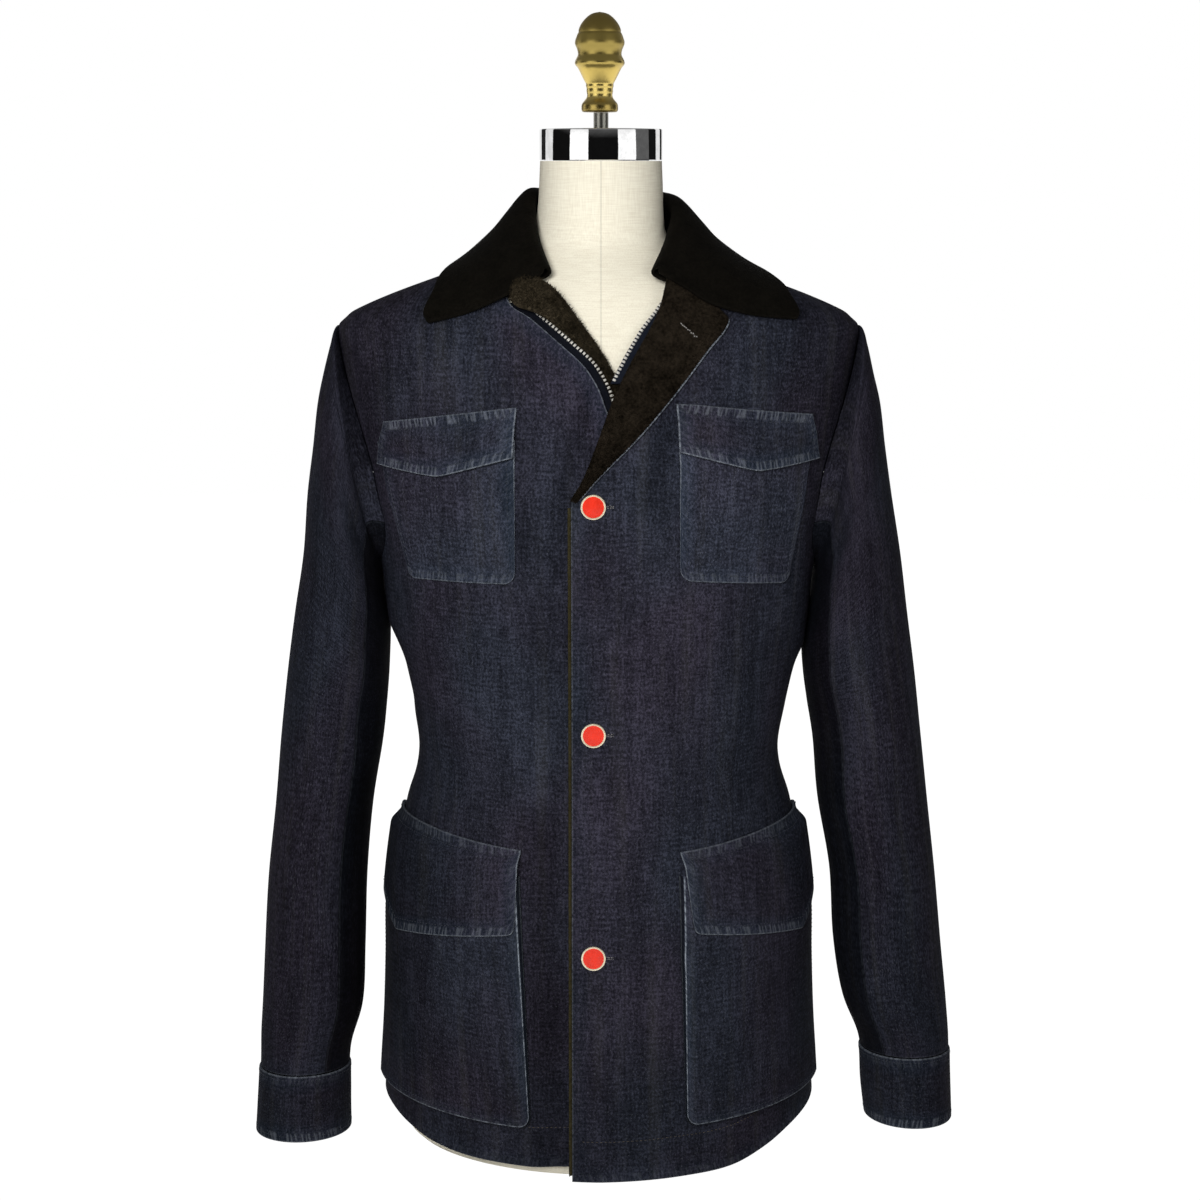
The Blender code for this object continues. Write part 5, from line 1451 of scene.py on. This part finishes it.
# %% Enamel and metals
CAP_BOTTOM, CAP_TOP, CAP_RADIUS = 0.8185, 0.8437, 0.0498
FINE_GRAIN, THREAD_GRAIN, DRAWN_GRAIN = (160, 160, 160), (900, 900, 900), (900, 900, 30)


def make_plain(name, colour, metallic, roughness, coat=0.0, grain=FINE_GRAIN):
    made, tree, shader = new_material(name)
    wear = noise(tree, object_place(tree), grain, 3.0, 0.6)
    looks = {
        "Base Color": ramp(tree, wear, [(0.35, tuple(c * 0.82 for c in colour)), (0.65, colour)]),
        "Metallic": metallic,
        "Coat Weight": coat,
        "Coat Roughness": 0.06,
        "Roughness": ramp(tree, wear, [(0.3, roughness * 0.8), (0.7, roughness * 1.25)]),
    }
    finish_shader(tree, shader, looks, wear, 0.06, 0.0003)
    return made


def make_brass(low, high):
    """Turned brass, whose colour and roughness are read with the height between two values."""
    made, tree, shader = new_material("brass")
    place = object_place(tree)
    split = add(tree, "ShaderNodeSeparateXYZ")
    feed(tree, split.inputs[0], place)
    up = calc(tree, "MULTIPLY_ADD", split.outputs["Z"], 1 / (high - low), -low / (high - low))
    height_colours = [
        (0.10, (0.46, 0.34, 0.10)), (0.16, (0.86, 0.66, 0.21)), (0.42, (0.78, 0.58, 0.16)),
        (0.50, (0.50, 0.38, 0.11)), (0.78, (0.42, 0.32, 0.09)), (0.84, (0.33, 0.245, 0.070)),
    ]
    looks = {
        "Base Color": ramp(tree, up, height_colours),
        "Roughness": ramp(tree, up, [(0.44, 0.30), (0.84, 0.48)]),
        "Metallic": 1.0,
    }
    finish_shader(tree, shader, looks, noise(tree, place, (170, 170, 90), 2.0), 0.25, 0.0006)
    return made


brass = make_brass(CAP_TOP + 0.0131, CAP_TOP + 0.0921)
enamel = make_plain("enamel", (0.80, 0.030, 0.010), 0.0, 0.35, coat=0.15)
rim_gold = make_plain("rim_gold", (0.92, 0.82, 0.60), 0.6, 0.30)
chrome = make_plain("chrome", (0.90, 0.90, 0.90), 1.0, 0.035)
steel = make_plain("steel", (0.42, 0.41, 0.36), 1.0, 0.35, grain=DRAWN_GRAIN)
tooth_metal = make_plain("tooth_metal", (0.95, 0.92, 0.84), 0.55, 0.28)
hem_thread = make_plain("hem_thread", (0.095, 0.080, 0.058), 0.0, 0.9, grain=THREAD_GRAIN)
thread = make_plain("thread", (0.050, 0.054, 0.066), 0.0, 0.9, grain=THREAD_GRAIN)
pale_thread = make_plain("pale_thread", (0.50, 0.48, 0.45), 0.0, 0.9, grain=THREAD_GRAIN)
print("materials so far", len(bpy.data.materials))

# %% [markdown]
# Small hard pieces are modelled by hand from primitives, in edit mode. An operator acts on all
# that is selected, so everything is deselected before a primitive is added, and faces are then
# picked by their normal. A finished piece has its place applied to its mesh, so that its
# object lies at the origin.


# %% Helpers for hand-made pieces
def deselect():
    if bpy.context.mode != "OBJECT":
        bpy.ops.object.mode_set(mode="OBJECT")
    bpy.ops.object.select_all(action="DESELECT")


def settle(piece, name, node):
    """Leaves a piece at the origin, unturned, and ties it to the frame."""
    deselect()
    piece.name = name
    piece.select_set(True)
    bpy.context.view_layer.objects.active = piece
    bpy.ops.object.transform_apply(location=True, rotation=True, scale=True)
    bpy.ops.object.shade_smooth_by_angle(angle=math.radians(35))
    deselect()
    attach(piece, "root")
    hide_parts(node)
    print(name, len(piece.data.polygons), "faces")


def pick_faces(piece, test):
    """Selects the faces of the piece being edited whose normal passes the test."""
    mesh = bmesh.from_edit_mesh(piece.data)
    bpy.ops.mesh.select_mode(type="FACE")
    bpy.ops.mesh.select_all(action="DESELECT")
    for face in mesh.faces:
        face.select_set(bool(test(face.normal)))
    bmesh.update_edit_mesh(piece.data)


# %% [markdown]
# A button is a metal pan filled with enamel, on a short shank. It is a cylinder whose face is inset
# twice: first for the metal rim, then for the enamel, which sits a little lower and swells in the
# middle. Its back is inset and drawn out to the shank, and a bevel rounds the rim.

# %% Buttons
BUTTON_X, BUTTON_RADIUS, BUTTON_THICK, BUTTON_LIFT = -0.0040, 0.0098, 0.0026, 0.0034
BUTTON_HEIGHTS = (0.5550, 0.3715, 0.1920)
RIM_WIDTH, SHANK_INSET, SHANK_LENGTH = 0.0010, 0.0055, 0.0019


def model_button():
    deselect()
    bpy.ops.mesh.primitive_cylinder_add(
        vertices=48, radius=BUTTON_RADIUS, depth=BUTTON_THICK, location=(0, 0, BUTTON_LIFT)
    )
    button = bpy.context.active_object
    button.data.materials.append(rim_gold)
    button.data.materials.append(enamel)
    bpy.ops.object.mode_set(mode="EDIT")
    pick_faces(button, lambda normal: normal.z > 0.9)
    bpy.ops.mesh.inset(thickness=RIM_WIDTH, depth=0.0002)
    bpy.ops.mesh.inset(thickness=0.0003, depth=-0.0005)
    button.active_material_index = 1
    bpy.ops.object.material_slot_assign()
    bpy.ops.mesh.inset(thickness=0.0030, depth=0.0003)
    pick_faces(button, lambda normal: normal.z < -0.9)
    bpy.ops.mesh.inset(thickness=SHANK_INSET, depth=0.0)
    bpy.ops.mesh.extrude_region_move(TRANSFORM_OT_translate={"value": (0, 0, -SHANK_LENGTH)})
    bpy.ops.object.mode_set(mode="OBJECT")
    bevel = button.modifiers.new("Rim", "BEVEL")
    bevel.width, bevel.segments = 0.0004, 3
    bevel.limit_method, bevel.angle_limit = "ANGLE", math.radians(50)
    bpy.ops.object.modifier_apply(modifier="Rim")
    return button


for number, height in enumerate(BUTTON_HEIGHTS, 1):
    turn = turn_at_x(np.array(BUTTON_X), np.array(height))
    away = unit(on_body(turn, height, 0.01) - on_body(turn, height, 0.0))
    button = model_button()
    button.rotation_euler = Vector(away).to_track_quat("Z", "Y").to_euler()
    button.location = Vector(on_body(turn, height, 0.0002))
    settle(button, f"enamel_button_{number}", f"button_{number}")

# %% [markdown]
# Sewing is made as threads: each stitch is a slim lens that lies on the cloth, pointed where it
# dives in. The rows run beside the folded edges, along the hem and round the cuffs. A route says
# where a row runs on its piece, in shares of the piece's width and height, so the stitches follow
# the piece wherever it goes.

# %% A row of stitches
STITCH_SAMPLES, STITCH_LIFT = 500, -0.00010
STITCH_TIPS, STITCH_SIDES = (0, 1), (2, 3, 4, 5)


def follow(place, route, samples, depth):
    """A line over a cloth piece, the way out of the cloth along it, and its length so far."""
    t = np.linspace(0, 1, samples)
    u, v = (share + 0 * t for share in route(t))
    line = place(u, v, depth + 0 * t)
    away = line - place(u, v, 0.001 + 0 * t)
    length = np.concatenate([[0], np.cumsum(np.linalg.norm(np.diff(line, axis=0), axis=-1))])
    return line, away, length


def read_along(values, where, length):
    return np.stack([np.interp(where, length, values[:, k]) for k in range(3)], -1)


def threads(name, place, routes, node, material, pitch=0.0036, long=0.0026, half=0.00024, turned=False):
    """Stitches along routes over a cloth piece. A route gives u and v from a share 0 to 1."""
    points, faces = [], []
    for route in routes:
        line, away, length = follow(place, route, STITCH_SAMPLES, STITCH_LIFT)
        starts = np.arange(0.4 * pitch, length[-1] - long, pitch)
        first, last = read_along(line, starts, length), read_along(line, starts + long, length)
        middle = read_along(line, starts + long / 2, length)
        lift = read_along(unit(away), starts + long / 2, length)
        side = unit(np.cross(lift, last - first))
        if turned:
            first, last, side = middle - side * long / 2, middle + side * long / 2, unit(last - first)
        for a, b, m, n, w in zip(first, last, middle, lift, side):
            start = len(points)
            points += [a, b, m + w * half, m + n * half * 1.6, m - w * half, m - n * half]
            low, high = (start + tip for tip in STITCH_TIPS)
            ring = [start + corner for corner in STITCH_SIDES]
            for here, there in zip(ring, ring[1:] + ring[:1]):
                faces += [(low, here, there), (high, there, here)]
    tie(name, new_mesh(name, points, faces, turn_out=True), material, node)
    print(name, len(faces) // 8, "stitches")


def frame_route(low, side, width, height, start=1.0):
    """Down one side, along the bottom and up the other, a fixed way inside the border."""
    a, b = side / width, low / height
    stops = [0, 0.36, 0.64, 1]

    def route(t):
        return np.interp(t, stops, [a, a, 1 - a, 1 - a]), np.interp(t, stops, [start, b, b, start])

    return route


def level_route(height, end=0.0):
    """Straight across at one height, from one end to the other."""
    return lambda t: (end + (1 - 2 * end) * t, height)


for name, side in (("left", 1), ("right", -1)):
    rows = {
        "chest_pocket": (chest_pocket(side), [frame_route(0.0060, 0.0055, 0.11, 0.115, 0.95)]),
        "hip_pocket": (hip_pocket(side), [frame_route(0.0075, 0.0070, 0.18, 0.21, 0.95)]),
        "chest_flap": (chest_flap(side), [frame_route(0.0055, 0.0050, 0.12, 0.037), level_route(0.80, 0.03)]),
        "hip_flap": (hip_flap(side), [frame_route(0.0075, 0.0070, 0.18, 0.07), level_route(0.90, 0.03)]),
        "cuff": (cuff_place(side), [level_route(0.05), level_route(0.90)]),
    }
    for piece, (place, routes) in rows.items():
        threads(f"stitches_{piece}_{name}", place, routes, f"{piece}_{name}", thread)
    hem = [level_route(0.040, 0.02)]
    threads(f"stitches_hem_{name}", front_place(side), hem, f"front_{name}", hem_thread)
threads("stitches_hem_back", back_place, [level_route(0.040, 0.01)], "back", hem_thread)

# %% [markdown]
# A buttonhole is two rows of short stitches, close together, whose threads lie across the row. The
# same function makes them, with its stitches turned. The lapel's own, which no button uses, is one
# row that winds to and fro.

# %% Buttonholes
HOLE_START, HOLE_LENGTH, HOLE_HALF = 0.0085, 0.0085, 0.0007


def buttonhole(height):
    """Two rows of pale stitches beside a button, as points of the left front."""

    def place(u, v, depth):
        x = BUTTON_X + HOLE_START + HOLE_LENGTH * u
        z = height + mix(-HOLE_HALF, HOLE_HALF, v)
        return on_body(turn_at_x(x, z), z, -depth)

    return place


def lapel_hole(u, v, depth):
    """The lapel's own buttonhole, level with the facing's pile."""
    x, z = mix(0.0622, 0.0770, u), mix(0.6920, 0.6812, u) + mix(-0.0006, 0.0006, v)
    return on_body(turn_at_x(x, z), z, LAYER_GAP + 0.0052 - depth)


def wavy_route(t):
    return t, 0.5 + 0.5 * np.sin(t * 37)


for number, height in enumerate(BUTTON_HEIGHTS, 1):
    threads(
        f"buttonhole_{number}", buttonhole(height), [level_route(0.0), level_route(1.0)],
        "front_left", pale_thread, pitch=0.0012, long=0.0012, half=0.00020, turned=True,
    )
threads(
    "buttonhole_lapel", lapel_hole, [wavy_route], "lapel_facing_left", pale_thread,
    pitch=0.0023, long=0.0016, half=0.00062, turned=True,
)

# %% [markdown]
# The zip is open. One tooth is modelled from a cube: its head is narrowed, and a small nub is
# raised on it. It is then set along the edge of each tape, every 3.3 mm. Copies in one mesh are
# used instead of an array on a curve, because the teeth have to stand square to the cloth.

# %% Zip teeth
TOOTH_SIZE, TOOTH_PITCH, TOOTH_SAMPLES, TOOTH_LIFT = (0.0022, 0.0018, 0.0017), 0.0033, 600, -0.0004


def model_tooth():
    deselect()
    bpy.ops.mesh.primitive_cube_add(size=1, location=(0, 0, 0))
    tooth = bpy.context.active_object
    tooth.scale = TOOTH_SIZE
    bpy.ops.object.transform_apply(scale=True)
    bpy.ops.object.mode_set(mode="EDIT")
    pick_faces(tooth, lambda normal: normal.x > 0.9)
    bpy.ops.mesh.inset(thickness=0.0003, depth=0.0004)
    pick_faces(tooth, lambda normal: normal.z > 0.9)
    bpy.ops.mesh.inset(thickness=0.0003, depth=0.0003)
    bpy.ops.object.mode_set(mode="OBJECT")
    return tooth


def set_along(model, name, place, route, node):
    """Copies the tooth along a route over a tape, as one mesh."""
    line, away, length = follow(place, route, TOOTH_SAMPLES, TOOTH_LIFT)
    where = np.arange(TOOTH_PITCH, length[-1] - TOOTH_PITCH / 2, TOOTH_PITCH)
    middle = read_along(line, where, length)
    away = unit(read_along(away, where, length))
    along = unit(read_along(np.gradient(line, axis=0), where, length))
    axes = np.stack([unit(np.cross(along, away)), along, away], 1)
    shape = np.array([vertex.co for vertex in model.data.vertices])
    points = (middle[:, None] + shape @ axes).reshape(-1, 3)
    starts = range(0, len(points), len(shape))
    faces = [[start + i for i in face.vertices] for start in starts for face in model.data.polygons]
    tie(name, new_mesh(name, points, faces, turn_out=True), tooth_metal, node)
    print(name, len(where), "copies")


tooth = model_tooth()
set_along(tooth, "zip_teeth_right", right_tape_place, lambda t: (0.86, t), "zip_tape_right")
set_along(tooth, "zip_teeth_left", left_tape_place, lambda t: (0.14, t), "zip_tape_left")
bpy.data.objects.remove(tooth)

# %% [markdown]
# Pile is a field of short spikes, each a closed spike of four faces, leaning a little every way.
# They break up the outline of the facings where light catches them. Hair particles would look
# finer, but they leave no mesh behind, and the spikes do.

# %% Pile
SPIKE_RADIUS, SPIKE_ROOT, SPIKE_LEAN = 0.00034, 0.0003, 0.45
SPIKE_TURNS = np.array([[0, 2.094, 4.189]])
SPIKE_FACES = np.array([[0, 1, 3], [1, 2, 3], [2, 0, 3], [2, 1, 0]])


def pile(name, place, count, long, node, material, seed):
    random = np.random.default_rng(seed)
    u, v = random.uniform(0.0, 1.0, count), random.uniform(0.0, 1.0, count)
    base = place(u, v, 0 * u + SPIKE_ROOT)
    away = unit(place(u, v, 0 * u - 0.001) - base)
    ahead, behind = (place(at, v, 0 * u + SPIKE_ROOT) for at in (np.minimum(u + 0.01, 1.01), u - 0.01))
    tangent = unit(ahead - behind)
    other = np.cross(away, tangent)
    swing = random.normal(0, SPIKE_LEAN, (2, count, 1))
    lean = unit(away + tangent * swing[0] + other * (swing[1] - 0.35))
    tips = base + lean * long * random.uniform(0.6, 1.25, (count, 1))
    turns = (random.uniform(0, 2 * math.pi, (count, 1)) + SPIKE_TURNS)[..., None]
    ring = base[:, None] + (tangent[:, None] * np.cos(turns) + other[:, None] * np.sin(turns)) * SPIKE_RADIUS
    points = np.concatenate([ring, tips[:, None]], 1).reshape(-1, 3)
    faces = (np.arange(count)[:, None, None] * 4 + SPIKE_FACES).reshape(-1, 3)
    tie(name, new_mesh(name, points, faces.tolist()), material, node)
    print(name, count, "spikes")


pile("pile_lapel", lapel_place, 14000, 0.0016, "lapel_facing_left", sheared, 3)
pile("pile_neck", roll_place, 12000, 0.0032, "neck_facing_right", sheared_light, 5)
pile("pile_edge", edge_facing_place, 5000, 0.0012, "edge_facing_left", lit_edge_pile, 7)

# %% [markdown]
# The finial, its rod and the ring on the neck are turned pieces: a profile of points is drawn as
# edges and spun round the upright axis. The finial's profile has its corners cut twice, which
# rounds them, because a lathe leaves no sharp ones. The ring is a closed drum over the neck's end.


# %% Turned pieces
def turn_profile(name, profile, x, steps, material, node):
    deselect()
    bpy.ops.mesh.primitive_plane_add(size=0.001, location=(0, 0, 0))
    piece = bpy.context.active_object
    mesh = bmesh.new()
    points = [mesh.verts.new((radius, 0, z)) for radius, z in profile]
    for low, high in zip(points, points[1:]):
        mesh.edges.new((low, high))
    mesh.to_mesh(piece.data)
    mesh.free()
    bpy.ops.object.mode_set(mode="EDIT")
    bpy.ops.mesh.select_all(action="SELECT")
    bpy.ops.mesh.spin(steps=steps, angle=2 * math.pi, center=(0, 0, 0), axis=(0, 0, 1))
    bpy.ops.mesh.select_all(action="SELECT")
    bpy.ops.mesh.remove_doubles(threshold=0.00002)
    bpy.ops.mesh.normals_make_consistent(inside=False)
    bpy.ops.object.mode_set(mode="OBJECT")
    piece.location = (x, NECK_Y, 0)
    piece.data.materials.clear()
    piece.data.materials.append(material)
    settle(piece, name, node)


def rounded(profile, rounds=2):
    """Cuts the corners of a profile, keeping its two ends."""
    for _ in range(rounds):
        cut = [profile[0]]
        for (ax, az), (bx, bz) in zip(profile, profile[1:]):
            cut += [(mix(ax, bx, share), mix(az, bz, share)) for share in (0.25, 0.75)]
        profile = cut + [profile[-1]]
    return profile


# radius and height of each point
CAP = [
    (0, CAP_TOP), (CAP_RADIUS - 0.0012, CAP_TOP), (CAP_RADIUS - 0.0003, CAP_TOP - 0.0003),
    (CAP_RADIUS, CAP_TOP - 0.0012), (CAP_RADIUS, CAP_BOTTOM + 0.0006),
    (CAP_RADIUS - 0.0005, CAP_BOTTOM), (0, CAP_BOTTOM),
]
ROD_RADIUS, ROD_LOW, ROD_HIGH = 0.006, CAP_TOP + 0.0003, CAP_TOP + 0.0003 + 0.0125
ROD = [(0, ROD_HIGH), (ROD_RADIUS, ROD_HIGH), (ROD_RADIUS, ROD_LOW), (0, ROD_LOW)]
# radius and height above the finial's foot
FINIAL = [
    (0.0000, 0.0790), (0.0062, 0.0779), (0.0108, 0.0747), (0.0151, 0.0697), (0.0172, 0.0648),
    (0.0169, 0.0630), (0.0178, 0.0620), (0.0191, 0.0586), (0.0201, 0.0555), (0.0198, 0.0531),
    (0.0182, 0.0500), (0.0174, 0.0463), (0.0178, 0.0444), (0.0196, 0.0413), (0.0203, 0.0389),
    (0.0194, 0.0370), (0.0178, 0.0354), (0.0163, 0.0327), (0.0139, 0.0278), (0.0120, 0.0241),
    (0.0110, 0.0226), (0.0112, 0.0205), (0.0105, 0.0190), (0.0108, 0.0167), (0.0102, 0.0145),
    (0.0104, 0.0117), (0.0130, 0.0086), (0.0147, 0.0065), (0.0149, 0.0031), (0.0145, 0.0008),
    (0.0130, 0.0000), (0.0000, 0.0000),
]
FINIAL_FOOT = ROD_LOW + 0.0128
turn_profile("neck_ring", CAP, NECK_X, 128, chrome, "neck_cap")
turn_profile("finial_rod", ROD, NECK_X, 48, steel, "rod")
finial = rounded([(radius, z + FINIAL_FOOT) for radius, z in FINIAL])
turn_profile("brass_finial", finial, NECK_X - 0.001, 96, brass, "finial")

# %% [markdown]
# The studio is plain: white all round for the camera, and for the light two tall soft boxes in
# front, left and right, with dark gaps between them. The chrome ring shows them as upright bands.
# A mirror-like piece shows its room, so the world gives each kind of ray its own answer: an even
# soft light, a room of bands for reflections, and white for the camera.

# %% The room
SOFT_LIGHT, ABOVE_LIGHT, BELOW_LIGHT = 0.07, 0.23, 0.95
# degrees round the room, with 0 in front, and how bright the band is that starts there
ROOM_BANDS = [
    (-180, 0.9), (-150, 0.02), (-129, 0.9), (-104, 0.006), (-61, 1.35), (-25, 0.006),
    (32, 1.25), (68, 0.12), (100, 0.008), (124, 0.9), (144, 0.02), (158, 0.9),
]


def make_room(tree):
    """The light of the room by direction, for reflections."""
    split = add(tree, "ShaderNodeSeparateXYZ")
    feed(tree, split.inputs[0], add(tree, "ShaderNodeTexCoord").outputs["Generated"])
    back = calc(tree, "MULTIPLY", split.outputs["Y"], -1.0)
    azimuth = calc(tree, "ARCTAN2", split.outputs["X"], back)
    share = calc(tree, "MULTIPLY_ADD", azimuth, 1 / (2 * math.pi), 0.5)
    stops = [(degrees / 360 + 0.5, value) for degrees, value in ROOM_BANDS]
    room = ramp(tree, share, stops, "CONSTANT")
    height = calc(tree, "MULTIPLY_ADD", split.outputs["Z"], 0.5, 0.5)
    above = ramp(tree, height, [(0.62, 0.0), (0.74, 1.0)])
    below = ramp(tree, height, [(0.28, 1.0), (0.40, 0.0)])
    room = blend_colour(tree, "MIX", above, room, grey(ABOVE_LIGHT))
    return blend_colour(tree, "MIX", below, room, grey(BELOW_LIGHT))


def make_world():
    world = bpy.data.worlds.new("studio")
    world.use_nodes = True
    tree = world.node_tree
    tree.nodes.clear()
    room = make_room(tree)
    path = add(tree, "ShaderNodeLightPath")
    soft, mirrored, seen = (add(tree, "ShaderNodeBackground") for _ in range(3))
    feed(tree, soft.inputs["Color"], grey(SOFT_LIGHT))
    feed(tree, mirrored.inputs["Color"], room)
    feed(tree, seen.inputs["Color"], grey(1.0))
    result = soft.outputs[0]
    for ray, other in (("Is Glossy Ray", mirrored), ("Is Camera Ray", seen)):
        result = switch(tree, path.outputs[ray], result, other.outputs[0])
    feed(tree, add(tree, "ShaderNodeOutputWorld").inputs["Surface"], result)
    bpy.context.scene.world = world


def switch(tree, factor, shader_a, shader_b):
    node = add(tree, "ShaderNodeMixShader")
    for socket, value in zip(node.inputs, (factor, shader_a, shader_b)):
        feed(tree, socket, value)
    return node.outputs[0]


make_world()
print("the room has", len(ROOM_BANDS), "bands of light")

# %% [markdown]
# The floor has to look white without lighting the coat from below, so it shines white to the
# camera and in mirrors, and is a pale matte floor to the light. Three soft boxes light the form:
# a strong one from the front and left, a weak one from the right, and one behind.


# %% Floor and lights
def make_floor_material():
    made, tree, shader = new_material("floor")
    feed(tree, shader.inputs["Base Color"], grey(0.45))
    feed(tree, shader.inputs["Roughness"], 0.9)
    white = add(tree, "ShaderNodeEmission")
    feed(tree, white.inputs["Strength"], 1.05)
    path = add(tree, "ShaderNodeLightPath").outputs
    seen = calc(tree, "MAXIMUM", path["Is Camera Ray"], path["Is Glossy Ray"])
    surface = switch(tree, seen, shader.outputs[0], white.outputs[0])
    feed(tree, tree.nodes["Material Output"].inputs["Surface"], surface)
    return made


def soft_box(name, place, target_height, width, height, power):
    data = bpy.data.lights.new(name, "AREA")
    data.shape, data.size, data.size_y, data.energy = "RECTANGLE", width, height, power
    light = bpy.data.objects.new(name, data)
    light.location = place
    aim = Vector((0, 0, target_height)) - Vector(place)
    light.rotation_euler = aim.to_track_quat("-Z", "Y").to_euler()
    light.visible_glossy = False
    bpy.context.collection.objects.link(light)


soft_box("key", (-0.55, -2.4, 1.35), 0.52, 1.1, 0.9, 58)
soft_box("fill", (1.1, -2.3, 1.0), 0.5, 0.9, 1.0, 11)
soft_box("behind", (0.2, 2.4, 1.6), 0.5, 2.0, 1.5, 14)
deselect()
bpy.ops.mesh.primitive_circle_add(vertices=96, radius=4.0, fill_type="NGON", location=(0, 0, -0.0005))
floor = bpy.context.active_object
floor.name = "floor"
floor.data.materials.append(make_floor_material())
print("lights", len(bpy.data.lights), "floor", floor.dimensions.x, "m across")

# %% [markdown]
# Last, the view layer is brought up to date.

# %% Finish
bpy.context.view_layer.update()
